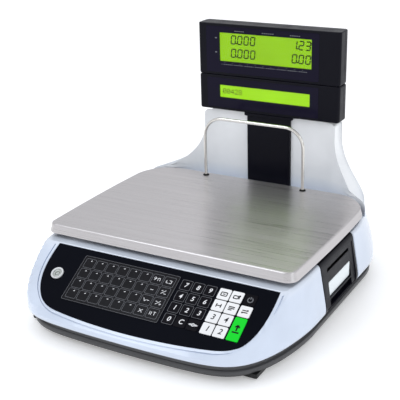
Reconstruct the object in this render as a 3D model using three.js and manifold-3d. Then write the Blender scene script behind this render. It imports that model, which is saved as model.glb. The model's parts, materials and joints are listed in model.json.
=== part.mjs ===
// Label-printing retail price scale: platter on a load cell, sloped keypad, side printer cassette,
// pole display. Millimetres, +Z up, -Y towards the operator, origin on the floor under the middle.
import * as THREE from "three";
import { mergeVertices } from "three/addons/utils/BufferGeometryUtils.js";
import Module from "manifold-3d";

const wasm = await Module();
wasm.setup();

// ---------------------------------------------------------------- driving dimensions
const CASE_HALF_WIDTH = 200; // widest, near the foot of the case
const CASE_TOP_HALF_WIDTH = 190;
const CASE_FRONT = -231;
const CASE_REAR = 231;
const CASE_BOTTOM = 26;
const DECK_TOP = 96;
const WALL = 3;
const GAP = 0.4; // clearance between neighbouring pieces

const KEYPAD_TILT = THREE.MathUtils.degToRad(30);
const KEYPAD_TOP_Y = -133;
const KEYPAD_TOP_Z = 95;

const PLATTER_TOP = 115;
const PLATTER_FRONT = -119;
const PLATTER_DEPTH = 277;
const PLATTER_HALF_WIDTH = 185;
const PLATTER_SHEET = 1.2;
const RIM_DROP = 12.5;
const RIM_FLARE = 3.5;

const TRAY_BOTTOM = 7;
const TRAY_FLOOR = 3;
const TRAY_HALF_WIDTH = 199;
const TRAY_CORNER_DEPTH = 105;
const LEG_HALF_WIDTH = 18.5;
const LEG_BOTTOM = 2.5;
const FOOT_RADIUS = 13;
const FOOT_STEM_RADIUS = 4.4;
const FOOT_BOSS_RADIUS = 11;
const FOOT_PLACES = [
  ["front_left", -152, -170],
  ["front_right", 152, -170],
  ["rear_left", -128, 150],
  ["rear_right", 128, 150],
];

const TOWER_FRONT = 205;
const TOWER_TOP = 203;
const TOWER_HALF_WIDTH = 108;
const TOWER_ROOT = 70; // height at which the tower is sunk into the case
const FLARE_RADIUS = 72;
const FLARE_TOP = 182; // height at which the sides start to sweep out
const COVER = { halfWidth: 89, low: 38, high: 198, depth: 2.7 };
const INLET = { x: -60, z: 59, halfWidth: 14, halfHeight: 11, depth: 26, flange: 5, pinPitch: 6 };

const POLE_HALF_WIDTH = 36.5;
const POLE_FRONT = 199;
const POLE_BACK = 225;
const POLE_WALL = 2;
const POLE_FOOT = 34;
const POLE_TUBE_TOP = 221;
const SPINE_HALF_WIDTH = POLE_HALF_WIDTH - 4; // flat upright that carries the upper head
const SPINE_REAR = POLE_BACK - 2;
const SPINE_TOP = 330;
const BRACKET = { halfWidth: 62, front: 180, rear: 216, top: 62, sheet: 2 };

const HEAD_HALF_WIDTH = 117.5;
const HEAD_FRONT = 196;
const HEAD_BACK = 228;
const HEAD_SPLIT_Y = 213;
const HEAD_BOTTOM = 209;
const HEAD_JOINT = 264.5;
const HEAD_TOP = 344.5;
const HEAD_WALL = 2.5;
const HEAD_EDGE = 1.5; // small corner cut at the joint and along the top
const HEAD_FOOT_CORNER = 3;
const WINDOW_SHEET = 1.6;
const UPPER_LCD = { left: -80, right: 72, low: 287, high: 330.5 };
const LOWER_LCD = { left: -81, right: 70, low: 229.5, high: 248.5 };

const BAY_FRONT = -44;
const BAY_REAR = 73;
const BAY_INNER = 95;
const BEZEL_DEPTH = 26;
const CASSETTE_FLOOR = 26;
const SLOT_Z = 79.5;
const SLOT_HALF_HEIGHT = 2.5;
const SLOT_HALF_LENGTH = 38;
const FINGER_PULL = { depth: 11, low: 29.5, high: 39.4 };
const CARD = { depth: 7, sheet: 1.4, low: 41.3, high: 63 };
const CASSETTE_MIDDLE = (BAY_FRONT + BAY_REAR) / 2;

const LOAD_CELL = { front: -54, rear: 96, halfWidth: 18, low: 36.4, high: 65, bore: 10, web: 4.5 };
const POST_Y = 80;
const POST_RADIUS = 16;

// Boxes of the two loose assemblies: left, right, front, rear, low, high.
const MAIN_BOARD = [-176, -52, -120, 20, 22, 23.6];
const POWER_SUPPLY = [-150, -60, 34, 124, 12, 46];

const WIRE_RADIUS = 2.4;
const WIRE_Y = 147;
const WIRE_HALF_SPAN = 82;
const WIRE_TOP = 211;
const WIRE_BEND = 30;

// ---------------------------------------------------------------- materials
function finish(colour, roughness, metalness = 0) {
  return new THREE.MeshStandardMaterial({ color: colour, roughness, metalness });
}
const glossWhite = finish(0xe8f0f8, 0.25);
const blackPlastic = finish(0x16151a, 0.45);
const darkGreyPlastic = finish(0x3a3a3d, 0.6);
const keypadBlack = finish(0x0c0b10, 0.4);
const keyWhite = finish(0xf2f2f2, 0.5);
const keyGreen = finish(0x08e02c, 0.5);
const brushedSteel = finish(0xb9babb, 0.35, 1);
const chromeWire = finish(0xd0cfc8, 0.15, 1);
const castAluminium = finish(0xa7a9ab, 0.5, 1);
const lcdGreen = finish(0x9bd016, 0.4);
const clearPlastic = finish(0xdfe8ea, 0.05);
const boardGreen = finish(0x1c5a34, 0.5);
const rubberBlack = finish(0x111111, 0.9);
const paperWhite = finish(0xf4f6f4, 0.8);
const zincSteel = finish(0x9a9c9f, 0.4, 1);

// ---------------------------------------------------------------- solids
function toSolid(geometry) {
  const bare = geometry.clone();
  bare.deleteAttribute("normal");
  bare.deleteAttribute("uv");
  const merged = mergeVertices(bare, 1e-4);
  return new wasm.Manifold(new wasm.Mesh({
    numProp: 3,
    vertProperties: new Float32Array(merged.attributes.position.array),
    triVerts: new Uint32Array(merged.index.array),
  }));
}

function toGeometry(solid) {
  const mesh = solid.getMesh();
  const geometry = new THREE.BufferGeometry();
  geometry.setAttribute("position", new THREE.BufferAttribute(new Float32Array(mesh.vertProperties), 3));
  geometry.setIndex(new THREE.BufferAttribute(new Uint32Array(mesh.triVerts), 1));
  geometry.computeVertexNormals();
  return geometry;
}

function block(x0, x1, y0, y1, z0, z1) {
  const geometry = new THREE.BoxGeometry(x1 - x0, y1 - y0, z1 - z0);
  geometry.translate((x0 + x1) / 2, (y0 + y1) / 2, (z0 + z1) / 2);
  return toSolid(geometry);
}

function prism(points, z0, z1) {
  const shape = points instanceof THREE.Shape ? points : new THREE.Shape(points);
  const geometry = new THREE.ExtrudeGeometry(shape, {
    depth: z1 - z0, bevelEnabled: false, curveSegments: 6,
  });
  geometry.translate(0, 0, z0);
  return toSolid(geometry);
}

// A prism whose outline is drawn in X and Z and which runs along Y from y0 to y1.
function prismAlongY(points, y0, y1) {
  const shape = points instanceof THREE.Shape ? points : new THREE.Shape(points);
  const geometry = new THREE.ExtrudeGeometry(shape, {
    depth: y1 - y0, bevelEnabled: false, curveSegments: 5,
  });
  geometry.rotateX(Math.PI / 2);
  geometry.translate(0, y1, 0);
  return toSolid(geometry);
}

function rod(radius, axis, from, to, centre, sides = 20) {
  const geometry = new THREE.CylinderGeometry(radius, radius, to - from, sides);
  const middle = (from + to) / 2;
  if (axis === "x") {
    geometry.rotateZ(Math.PI / 2);
    geometry.translate(middle, centre[0], centre[1]);
  } else if (axis === "y") {
    geometry.translate(centre[0], middle, centre[1]);
  } else {
    geometry.rotateX(Math.PI / 2);
    geometry.translate(centre[0], centre[1], middle);
  }
  return toSolid(geometry);
}

// Skin over equal-length rings of points, from the lowest ring to the highest, closed at both ends.
function loft(rings) {
  const count = rings[0].length;
  const positions = [];
  const index = [];
  rings.forEach((ring) => ring.forEach((p) => positions.push(p.x, p.y, p.z)));
  const bulge = (p, q) => Math.hypot(p.x + q.x, p.y + q.y);
  for (let level = 0; level + 1 < rings.length; level++) {
    for (let i = 0; i < count; i++) {
      const next = (i + 1) % count;
      const a = level * count + i;
      const b = level * count + next;
      const rising = bulge(rings[level][i], rings[level + 1][next]);
      const falling = bulge(rings[level][next], rings[level + 1][i]);
      // Each four-sided patch is split along the diagonal that keeps the skin convex.
      if (rising > falling) index.push(a, b, b + count, a, b + count, a + count);
      else index.push(a, b, a + count, b, b + count, a + count);
    }
  }
  const top = (rings.length - 1) * count;
  const lowCentre = rings.length * count;
  for (const ring of [rings[0], rings[rings.length - 1]]) {
    const centre = ring.reduce((sum, p) => sum.add(p), new THREE.Vector3()).divideScalar(count);
    positions.push(centre.x, centre.y, centre.z);
  }
  for (let i = 0; i < count; i++) {
    const next = (i + 1) % count;
    index.push(next, i, lowCentre, top + i, top + next, lowCentre + 1);
  }
  const geometry = new THREE.BufferGeometry();
  geometry.setAttribute("position", new THREE.BufferAttribute(new Float32Array(positions), 3));
  geometry.setIndex(index);
  return toSolid(geometry);
}

function roundedRectangle(x0, x1, y0, y1, radius, segments = 3) {
  const corners = [
    [x1 - radius, y0 + radius, -90],
    [x1 - radius, y1 - radius, 0],
    [x0 + radius, y1 - radius, 90],
    [x0 + radius, y0 + radius, 180],
  ];
  return corners.flatMap(([cx, cy, start]) =>
    Array.from({ length: segments + 1 }, (_, i) => {
      const angle = THREE.MathUtils.degToRad(start + (90 * i) / segments);
      return new THREE.Vector2(cx + radius * Math.cos(angle), cy + radius * Math.sin(angle));
    }));
}

// ---------------------------------------------------------------- case outline
const SHOULDER_Y = -74; // where the bowed front meets the straight sides
const FRONT_BOW = 10;
const REAR_CORNER_WIDTH = 98;
const REAR_CORNER_DEPTH = 155; // at the deck; the corners are squarer lower down
const OUTLINE_STEPS = 72;

// True where a point is inside the plan outline: a bowed, big-cornered front and elliptical rear corners.
function insideOutline(x, y, halfWidth, front, rear, cornerDepth) {
  const across = Math.abs(x) / halfWidth;
  if (y < SHOULDER_Y) {
    const depth = SHOULDER_Y - front - FRONT_BOW * across * across;
    return across ** 8 + ((SHOULDER_Y - y) / depth) ** 1.5 < 1;
  }
  const cornerX = (Math.abs(x) - (halfWidth - REAR_CORNER_WIDTH)) / REAR_CORNER_WIDTH;
  const cornerY = (y - (rear - cornerDepth)) / cornerDepth;
  return Math.hypot(Math.max(cornerX, 0), Math.max(cornerY, 0)) < 1;
}

function outlineRadius(angle, halfWidth, front, rear, cornerDepth = REAR_CORNER_DEPTH) {
  let near = 0;
  let far = 400;
  for (let i = 0; i < 26; i++) {
    const r = (near + far) / 2;
    const within = insideOutline(r * Math.cos(angle), r * Math.sin(angle), halfWidth, front, rear,
      cornerDepth);
    if (within) near = r;
    else far = r;
  }
  return near;
}

function smoothSmaller(a, b, blend) {
  const h = THREE.MathUtils.clamp(0.5 + (0.5 * (b - a)) / blend, 0, 1);
  return b + (a - b) * h - blend * h * (1 - h);
}

// One ring of the case at a height, cut back by the sloped keypad plane, and moved in by an inset.
function caseRing(z, halfWidth, front, rear, cornerDepth, inset = 0, blend = 9) {
  const slopeFront = KEYPAD_TOP_Y - (KEYPAD_TOP_Z - z) / Math.tan(KEYPAD_TILT);
  const slopeInset = inset / Math.sin(KEYPAD_TILT);
  return Array.from({ length: OUTLINE_STEPS }, (_, i) => {
    const angle = (2 * Math.PI * i) / OUTLINE_STEPS - Math.PI / 2;
    let r = outlineRadius(angle, halfWidth - inset, front + inset, rear - inset, cornerDepth);
    if (Math.sin(angle) < -0.05) {
      r = smoothSmaller(r, (slopeFront + slopeInset) / Math.sin(angle), blend);
    }
    return new THREE.Vector3(r * Math.cos(angle), r * Math.sin(angle), z);
  });
}

// Height, half width, front, rear and rear-corner depth of the case's skin, from its foot to the rounded deck.
const CASE_LEVELS = [
  [CASE_BOTTOM, 197, -225, 228, 118],
  [29, 199.4, -229.5, 230.4, 119],
  [34, CASE_HALF_WIDTH, CASE_FRONT, CASE_REAR, 120],
  [40, 199.6, CASE_FRONT, CASE_REAR, 120],
  [48, 198.2, CASE_FRONT, CASE_REAR, 120],
  [58, 196.5, CASE_FRONT, CASE_REAR, 122],
  [69, 194.6, CASE_FRONT, CASE_REAR, 127],
  [80, 192.7, CASE_FRONT, CASE_REAR, 135],
  [89, 191.1, CASE_FRONT, CASE_REAR, 145],
  [94, 189.6, CASE_FRONT, CASE_REAR, 152],
  [DECK_TOP, 186.5, CASE_FRONT, CASE_REAR, REAR_CORNER_DEPTH],
];

function caseBody(inset, bottom, top) {
  const levels = CASE_LEVELS.filter(([z]) => z > bottom + 0.5 && z < top - 0.5);
  const widest = CASE_LEVELS[0];
  const narrowest = CASE_LEVELS[CASE_LEVELS.length - 1];
  const ends = [[bottom, ...widest.slice(1)], ...levels, [top, ...narrowest.slice(1)]];
  return loft(ends.map((level) => caseRing(...level, inset)));
}

function verticalOutline(halfWidth, rear, z0, z1, front = -100) {
  const ring = (z) => Array.from({ length: OUTLINE_STEPS }, (_, i) => {
    const angle = (2 * Math.PI * i) / OUTLINE_STEPS - Math.PI / 2;
    const r = outlineRadius(angle, halfWidth, front, rear);
    return new THREE.Vector3(r * Math.cos(angle), r * Math.sin(angle), z);
  });
  return loft([ring(z0), ring(z1)]);
}

const FLARE_STEPS = 9;
const FLARE_SHOULDER = [[186, 108], [189, 104.5], [190.5, 99], [190.5, TOWER_ROOT]];

// Elevation of the rear tower: upright sides that sweep out in a quarter circle to the case's shoulders.
function towerElevation(inset) {
  const centreX = TOWER_HALF_WIDTH + FLARE_RADIUS;
  const half = [new THREE.Vector2(TOWER_HALF_WIDTH - inset, TOWER_TOP - inset)];
  for (let i = 0; i <= FLARE_STEPS; i++) {
    const angle = Math.PI + (Math.PI / 2) * (i / FLARE_STEPS);
    half.push(new THREE.Vector2(
      centreX + (FLARE_RADIUS + inset) * Math.cos(angle),
      FLARE_TOP + (FLARE_RADIUS + inset) * Math.sin(angle),
    ));
  }
  for (const [x, z] of FLARE_SHOULDER) half.push(new THREE.Vector2(x - inset, z - inset));
  const left = half.map((p) => new THREE.Vector2(-p.x, p.y)).reverse();
  return [...half, ...left];
}

// ---------------------------------------------------------------- platter outline
const PLATTER_REAR_CORNER = 55;
const PLATTER_FRONT_CORNER = 12;

function platterOutline(grow) {
  const w = PLATTER_HALF_WIDTH + grow;
  const front = PLATTER_FRONT - grow;
  const rear = PLATTER_FRONT + PLATTER_DEPTH + grow;
  const small = PLATTER_FRONT_CORNER + grow;
  const big = PLATTER_REAR_CORNER + grow;
  const shape = new THREE.Shape();
  shape.moveTo(-w + small, front);
  shape.lineTo(w - small, front);
  shape.absarc(w - small, front + small, small, -Math.PI / 2, 0, false);
  shape.quadraticCurveTo(w + 4, (front + rear) / 2, w, rear - big);
  shape.absarc(w - big, rear - big, big, 0, Math.PI / 2, false);
  shape.lineTo(-w + big, rear);
  shape.absarc(-w + big, rear - big, big, Math.PI / 2, Math.PI, false);
  shape.quadraticCurveTo(-w - 4, (front + rear) / 2, -w, front + small);
  shape.absarc(-w + small, front + small, small, Math.PI, 1.5 * Math.PI, false);
  return shape.getPoints(6).filter((p, i, all) => i === 0 || p.distanceTo(all[i - 1]) > 1e-3)
    .filter((p, i, all) => i === 0 || p.distanceTo(all[0]) > 1e-3);
}

function platterRing(grow, z) {
  return platterOutline(grow).map((p) => new THREE.Vector3(p.x, p.y, z));
}

// ---------------------------------------------------------------- keypad layout, on the sloped plane
const KEY_GAP = 0.35;
const KEY_TOP = 0.4;
const KEY_UNDERSIDE = -2.2;
const ROW_PITCH = 17.1;
const FIRST_ROW = 11.5;
const NUMBER_KEYS = { left: 45.4, pitch: 17.2 };
const FUNCTION_KEYS = { left: 99.2, pitch: 17.5 };
const LAST_COLUMN = { left: 135.2, width: 17.3 };
const PRESET_SHEET = { left: -106, right: 42, top: 9.5, bottom: 81.5 };
const KEY_FIELD = { left: -110, right: 157, low: -86, high: -7 };
const VIAL = { x: -133, down: 46, radius: 9 };

function keyCell(name, left, row, width, rows, material) {
  return {
    name,
    x0: left + 0.7,
    x1: left + width - 0.7,
    y0: -(FIRST_ROW + (row + rows) * ROW_PITCH - 0.7),
    y1: -(FIRST_ROW + row * ROW_PITCH + 0.7),
    material,
  };
}

function keyCells() {
  const numbers = [["7", "8", "9"], ["4", "5", "6"], ["1", "2", "3"], ["0", "clear", "zero_tare"]];
  const cells = numbers.flatMap((line, row) => line.map((label, column) =>
    keyCell("key_" + label, NUMBER_KEYS.left + column * NUMBER_KEYS.pitch, row, NUMBER_KEYS.pitch, 1,
      keypadBlack)));
  const functions = [["label", "feed"], ["fix", "lookup"], ["clerk_3", "clerk_4"], ["clerk_1", "clerk_2"]];
  functions.forEach((line, row) => line.forEach((label, column) => cells.push(
    keyCell("key_" + label, FUNCTION_KEYS.left + column * FUNCTION_KEYS.pitch, row,
      FUNCTION_KEYS.pitch, 1, keyWhite))));
  cells.push(keyCell("key_power", LAST_COLUMN.left, 0, LAST_COLUMN.width, 1, keypadBlack));
  cells.push(keyCell("key_change", LAST_COLUMN.left, 1, LAST_COLUMN.width, 1, keyWhite));
  cells.push(keyCell("key_print", LAST_COLUMN.left, 2, LAST_COLUMN.width, 2, keyGreen));
  return cells;
}

// Straight top, sides that lean in, big lower corners and a bowed bottom edge.
function keypadOutline(grow) {
  const shape = new THREE.Shape();
  shape.moveTo(-157 - grow, grow);
  shape.bezierCurveTo(-160 - grow, -34, -155 - grow, -61, -139.5 - grow * 0.8, -80);
  shape.bezierCurveTo(-131.5 - grow * 0.7, -90.5, -121, -96.5 - grow, -104, -99 - grow);
  shape.bezierCurveTo(-30, -109 - grow, 52, -107.5 - grow, 126, -97 - grow);
  shape.bezierCurveTo(144.5, -94 - grow, 155.5 + grow * 0.7, -88, 161.5 + grow * 0.8, -79);
  shape.bezierCurveTo(173 + grow, -62, 176.5 + grow, -34, 175 + grow, grow);
  return shape.getPoints(6).filter((p, i, all) => i === 0 || p.distanceTo(all[i - 1]) > 1e-3);
}

function onKeypadPlane(solid) {
  return solid.rotate([THREE.MathUtils.radToDeg(KEYPAD_TILT), 0, 0])
    .translate([0, KEYPAD_TOP_Y, KEYPAD_TOP_Z]);
}

// ---------------------------------------------------------------- the pieces
const pieces = new THREE.Group();

function addPiece(name, solid, material) {
  const mesh = new THREE.Mesh(toGeometry(solid), material);
  mesh.name = name;
  pieces.add(mesh);
}

function makeBaseTray() {
  const [, rimHalfWidth, front, rear, cornerDepth] = CASE_LEVELS[0];
  const rim = (z, inset) => caseRing(z, rimHalfWidth, front, rear, cornerDepth, inset, 0.001);
  const lip = (z, inset) => caseRing(z, TRAY_HALF_WIDTH, front, rear, TRAY_CORNER_DEPTH, inset, 0.001);
  const outer = loft([lip(TRAY_BOTTOM, 9), lip(TRAY_BOTTOM + 3, 5.5), lip(15, 5), rim(23, 4),
    rim(32, WALL + 1.4)]);
  const inner = loft([rim(TRAY_BOTTOM + TRAY_FLOOR, 9), rim(24, 6.6), rim(33, WALL + 3.8)]);
  let tray = outer.subtract(inner);
  for (const [, x, y] of FOOT_PLACES) {
    const leg = roundedRectangle(x - LEG_HALF_WIDTH, x + LEG_HALF_WIDTH, y - LEG_HALF_WIDTH,
      y + LEG_HALF_WIDTH, 3);
    tray = tray.add(prism(leg, LEG_BOTTOM, TRAY_BOTTOM + 2))
      .add(rod(FOOT_BOSS_RADIUS, "z", TRAY_BOTTOM + 1, 24, [x, y]))
      .subtract(rod(FOOT_STEM_RADIUS + 0.6, "z", TRAY_BOTTOM - 1, 25, [x, y]))
      .subtract(rod(FOOT_RADIUS + 1.5, "z", LEG_BOTTOM - 1, TRAY_BOTTOM + 1.2, [x, y], 28));
  }
  const cellSeat = block(-LOAD_CELL.halfWidth - 2, LOAD_CELL.halfWidth + 2, LOAD_CELL.front,
    LOAD_CELL.front + 36, TRAY_BOTTOM + 1, LOAD_CELL.low - GAP);
  const sillTop = CASSETTE_FLOOR - GAP;
  const sillEnd = CASE_HALF_WIDTH - BEZEL_DEPTH - 2;
  const baySill = block(BAY_INNER, sillEnd, BAY_FRONT + 4, BAY_REAR - 4, TRAY_BOTTOM + 1, sillTop)
    .subtract(block(BAY_INNER - 1, sillEnd - WALL, BAY_FRONT + 7, BAY_REAR - 7, TRAY_BOTTOM + 4.5,
      sillTop - 2.5));
  const bayDoorway = block(CASE_HALF_WIDTH - BEZEL_DEPTH, CASE_HALF_WIDTH + 5, BAY_FRONT, BAY_REAR,
    sillTop - 0.5, 40);
  return tray.add(cellSeat).add(baySill).subtract(bayDoorway);
}

function makeUpperCase() {
  const skin = caseBody(0, CASE_BOTTOM, DECK_TOP);
  const tower = verticalOutline(CASE_TOP_HALF_WIDTH, CASE_REAR, TOWER_ROOT, TOWER_TOP + 1)
    .intersect(prismAlongY(towerElevation(0), 60, 240))
    .subtract(verticalOutline(CASE_TOP_HALF_WIDTH - 10, TOWER_FRONT, DECK_TOP, TOWER_TOP + 2))
    .subtract(prism(platterOutline(RIM_FLARE + 5), DECK_TOP, TOWER_TOP + 2));
  const cavity = caseBody(WALL, CASE_BOTTOM - 1, DECK_TOP - WALL);
  const towerCavity = verticalOutline(CASE_TOP_HALF_WIDTH - WALL, CASE_REAR - WALL, TOWER_ROOT + 2,
    TOWER_TOP)
    .intersect(prismAlongY(towerElevation(WALL), 60, 240))
    .subtract(verticalOutline(CASE_TOP_HALF_WIDTH - 10 + WALL, TOWER_FRONT + WALL, DECK_TOP - WALL,
      TOWER_TOP))
    .subtract(prism(platterOutline(RIM_FLARE + 9), DECK_TOP - WALL, TOWER_TOP));
  let shell = skin.add(tower).subtract(cavity).subtract(towerCavity);
  const poleSlot = block(-POLE_HALF_WIDTH - GAP, POLE_HALF_WIDTH + GAP, POLE_FRONT - GAP, POLE_BACK + GAP,
    DECK_TOP - 12, TOWER_TOP + 4);
  const coverOpening = block(-COVER.halfWidth - GAP, COVER.halfWidth + GAP, CASE_REAR - 5, CASE_REAR + 5,
    COVER.low, COVER.high);
  const postHole = rod(POST_RADIUS + 3, "z", DECK_TOP - 10, DECK_TOP + 5, [0, POST_Y], 28);
  const bayNotch = block(CASE_HALF_WIDTH - BEZEL_DEPTH, CASE_HALF_WIDTH + 9, BAY_FRONT, BAY_REAR,
    CASE_BOTTOM - 5, DECK_TOP + 5);
  shell = shell.subtract(poleSlot).subtract(coverOpening).subtract(postHole).subtract(bayNotch);
  const recess = onKeypadPlane(prism(keypadOutline(GAP), -1.9, 9));
  const { left, right, low, high } = KEY_FIELD;
  const keyWindow = onKeypadPlane(prism(roundedRectangle(left, right, low, high, 4), -15, 2));
  const vialHole = onKeypadPlane(rod(VIAL.radius + 1.2, "z", -15, 2, [VIAL.x, -VIAL.down], 24));
  return shell.subtract(recess).subtract(keyWindow).subtract(vialHole);
}

function inletBlock(grow, y0, y1) {
  const { x, z, halfWidth, halfHeight } = INLET;
  return block(x - halfWidth - grow, x + halfWidth + grow, y0, y1, z - halfHeight - grow,
    z + halfHeight + grow);
}

function makeRearCover() {
  const plate = block(-COVER.halfWidth, COVER.halfWidth, CASE_REAR - 0.1 - COVER.depth, CASE_REAR - 0.1,
    COVER.low + GAP, COVER.high - GAP);
  return plate.subtract(inletBlock(GAP, CASE_REAR - 9, CASE_REAR + 2));
}

function makePowerInlet() {
  const flange = inletBlock(INLET.flange, CASE_REAR - 5, CASE_REAR - 3.1);
  const shroud = inletBlock(0, CASE_REAR - INLET.depth, CASE_REAR - 0.4);
  const socket = inletBlock(-2, CASE_REAR - INLET.depth + 6, CASE_REAR + 1);
  const pins = [-1, 0, 1].map((place) => {
    const x = INLET.x + place * INLET.pinPitch;
    return block(x - 1, x + 1, CASE_REAR - INLET.depth + 4, CASE_REAR - 6, INLET.z - 2, INLET.z + 2);
  });
  return pins.reduce((all, pin) => all.add(pin), flange.add(shroud).subtract(socket));
}

function makeKeypad() {
  const cells = keyCells();
  let overlay = prism(keypadOutline(0), -1.4, -0.2);
  for (const cell of cells) {
    overlay = overlay.subtract(prism(roundedRectangle(cell.x0 - KEY_GAP, cell.x1 + KEY_GAP,
      cell.y0 - KEY_GAP, cell.y1 + KEY_GAP, 1.2, 1), -3, 2));
    addPiece(cell.name, onKeypadPlane(prism(roundedRectangle(cell.x0, cell.x1, cell.y0, cell.y1, 1, 1),
      KEY_UNDERSIDE, KEY_TOP)), cell.material);
  }
  overlay = overlay.subtract(rod(VIAL.radius + 0.5, "z", -3, 2, [VIAL.x, -VIAL.down], 24));
  addPiece("keypad_overlay", onKeypadPlane(overlay), keypadBlack);
  addPiece("preset_key_sheet", onKeypadPlane(prism(roundedRectangle(PRESET_SHEET.left, PRESET_SHEET.right,
    -PRESET_SHEET.bottom, -PRESET_SHEET.top, 2), 0.1, 0.6)), darkGreyPlastic);
  const { left, right, low, high } = KEY_FIELD;
  addPiece("keypad_board", onKeypadPlane(prism(roundedRectangle(left + 1, right - 1, low + 1, high - 1, 2),
    -6.2, -4.6)), boardGreen);
  const cup = VIAL.radius - 2.4;
  const vial = new THREE.LatheGeometry([[0, -9], [cup, -9], [cup, -2], [VIAL.radius, -2], [VIAL.radius, 0.7],
    [cup + 0.2, 1], [cup - 0.4, -0.4], [0, 0.3]].map(([r, z]) => new THREE.Vector2(r, z)), 24);
  vial.rotateX(Math.PI / 2);
  vial.translate(VIAL.x, -VIAL.down, 0);
  addPiece("level_vial", onKeypadPlane(toSolid(vial)), clearPlastic);
}

function makePlatter() {
  const rimEnd = PLATTER_TOP - RIM_DROP;
  const outer = loft([platterRing(RIM_FLARE, rimEnd), platterRing(1.6, PLATTER_TOP - 3),
    platterRing(0, PLATTER_TOP)]);
  const inner = loft([platterRing(RIM_FLARE - PLATTER_SHEET, rimEnd - 1),
    platterRing(1.6 - PLATTER_SHEET, PLATTER_TOP - 3.2),
    platterRing(-PLATTER_SHEET, PLATTER_TOP - PLATTER_SHEET)]);
  let platter = outer.subtract(inner);
  for (const side of [-1, 1]) {
    platter = platter.subtract(rod(WIRE_RADIUS + 0.3, "z", PLATTER_TOP - 5, PLATTER_TOP + 2,
      [side * WIRE_HALF_SPAN, WIRE_Y], 12));
  }
  return platter;
}

function makeGuardWire() {
  const path = new THREE.CurvePath();
  const foot = PLATTER_TOP - 6;
  const bendZ = WIRE_TOP - WIRE_RADIUS - WIRE_BEND;
  const at = (x, z) => new THREE.Vector3(x, WIRE_Y, z);
  const points = [];
  for (const side of [-1, 1]) {
    const arc = Array.from({ length: 7 }, (_, i) => {
      const angle = (Math.PI / 2) * (i / 6);
      return at(side * (WIRE_HALF_SPAN - WIRE_BEND + WIRE_BEND * Math.cos(angle)),
        bendZ + WIRE_BEND * Math.sin(angle));
    });
    const leg = [at(side * WIRE_HALF_SPAN, foot), at(side * WIRE_HALF_SPAN, (foot + bendZ) / 2)];
    points.push(...(side < 0 ? [...leg, ...arc] : [...arc.reverse(), ...leg.reverse()]));
  }
  for (let i = 0; i + 1 < points.length; i++) path.add(new THREE.LineCurve3(points[i], points[i + 1]));
  const section = new THREE.Shape(Array.from({ length: 8 }, (_, i) => new THREE.Vector2(
    WIRE_RADIUS * Math.cos((Math.PI * i) / 4), WIRE_RADIUS * Math.sin((Math.PI * i) / 4))));
  const spine = new THREE.CatmullRomCurve3(points, false, "centripetal");
  return toSolid(new THREE.ExtrudeGeometry(section, { steps: 34, extrudePath: spine, bevelEnabled: false }));
}

function makeSpider() {
  const low = DECK_TOP + 2;
  const high = PLATTER_TOP - PLATTER_SHEET - 4;
  const middleY = PLATTER_FRONT + PLATTER_DEPTH / 2;
  let spider = block(-22, 22, -70, POST_Y + 22, low, low + 6);
  spider = spider.add(rod(POST_RADIUS, "z", LOAD_CELL.high + 1, low + 6, [0, POST_Y], 24));
  for (const end of [-1, 1]) {
    const y = middleY + end * 88;
    spider = spider.add(block(-140, 140, y - 9, y + 9, low, high));
    spider = spider.add(block(-9, 9, Math.min(y, middleY), Math.max(y, middleY), low, high));
    for (const side of [-1, 1]) {
      spider = spider.add(rod(11, "z", low, PLATTER_TOP - PLATTER_SHEET - 0.4, [side * 132, y], 16));
    }
  }
  return spider;
}

// A bending beam: two joined bores leave thin webs above and below the middle.
function makeLoadCell() {
  const { front, rear, halfWidth, low, high, bore, web } = LOAD_CELL;
  const middleY = (front + rear) / 2;
  const middleZ = (low + high) / 2;
  let cell = block(-halfWidth, halfWidth, front, rear, low, high);
  for (const end of [-1, 1]) cell = cell.subtract(rod(bore, "x", -30, 30, [middleY + end * 18, middleZ], 20));
  return cell.subtract(block(-30, 30, middleY - 18, middleY + 18, middleZ - web, middleZ + web));
}

function poleBlock(grow, z0, z1) {
  return block(-POLE_HALF_WIDTH - grow, POLE_HALF_WIDTH + grow, POLE_FRONT - grow, POLE_BACK + grow, z0, z1);
}

function makePole() {
  const spine = block(-SPINE_HALF_WIDTH, SPINE_HALF_WIDTH, HEAD_SPLIT_Y + 2, SPINE_REAR, TOWER_TOP - 3,
    SPINE_TOP);
  const bore = poleBlock(-POLE_WALL, POLE_FOOT - 1, POLE_TUBE_TOP - 2);
  const channel = block(-SPINE_HALF_WIDTH + 3, SPINE_HALF_WIDTH - 3, HEAD_SPLIT_Y - 5, SPINE_REAR - 2.5,
    TOWER_TOP - 3, SPINE_TOP + 10);
  const collar = block(-POLE_HALF_WIDTH - 4, POLE_HALF_WIDTH + 4, POLE_FRONT - 2, POLE_BACK + 1,
    TOWER_TOP + 0.5, HEAD_BOTTOM - 0.4);
  return poleBlock(0, POLE_FOOT, POLE_TUBE_TOP).add(collar).subtract(bore).add(spine).subtract(channel);
}

function makePoleBracket() {
  const { halfWidth, front, rear, top, sheet } = BRACKET;
  const low = TRAY_BOTTOM + TRAY_FLOOR + GAP;
  const plate = block(-halfWidth, halfWidth, front, rear, low, low + sheet);
  const stand = block(-POLE_HALF_WIDTH - 4, POLE_HALF_WIDTH + 4, POLE_FRONT - 4, rear, low, top)
    .subtract(poleBlock(0, low + sheet, POLE_FOOT - 3));
  const socket = poleBlock(GAP, POLE_FOOT - GAP, top + 8);
  return plate.add(stand).subtract(socket);
}

// ---------------------------------------------------------------- display head
function headOutline(bottom, top, bottomCut, topCut, inset = 0) {
  const w = HEAD_HALF_WIDTH - inset;
  const z0 = bottom + inset;
  const z1 = top - inset;
  const corners = [[-w + bottomCut, z0], [w - bottomCut, z0], [w - bottomCut * 0.3, z0 + bottomCut * 0.3],
    [w, z0 + bottomCut], [w, z1 - topCut], [w - topCut, z1], [-w + topCut, z1], [-w, z1 - topCut],
    [-w, z0 + bottomCut], [-w + bottomCut * 0.3, z0 + bottomCut * 0.3]];
  return corners.map(([x, z]) => new THREE.Vector2(x, z));
}

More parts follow.
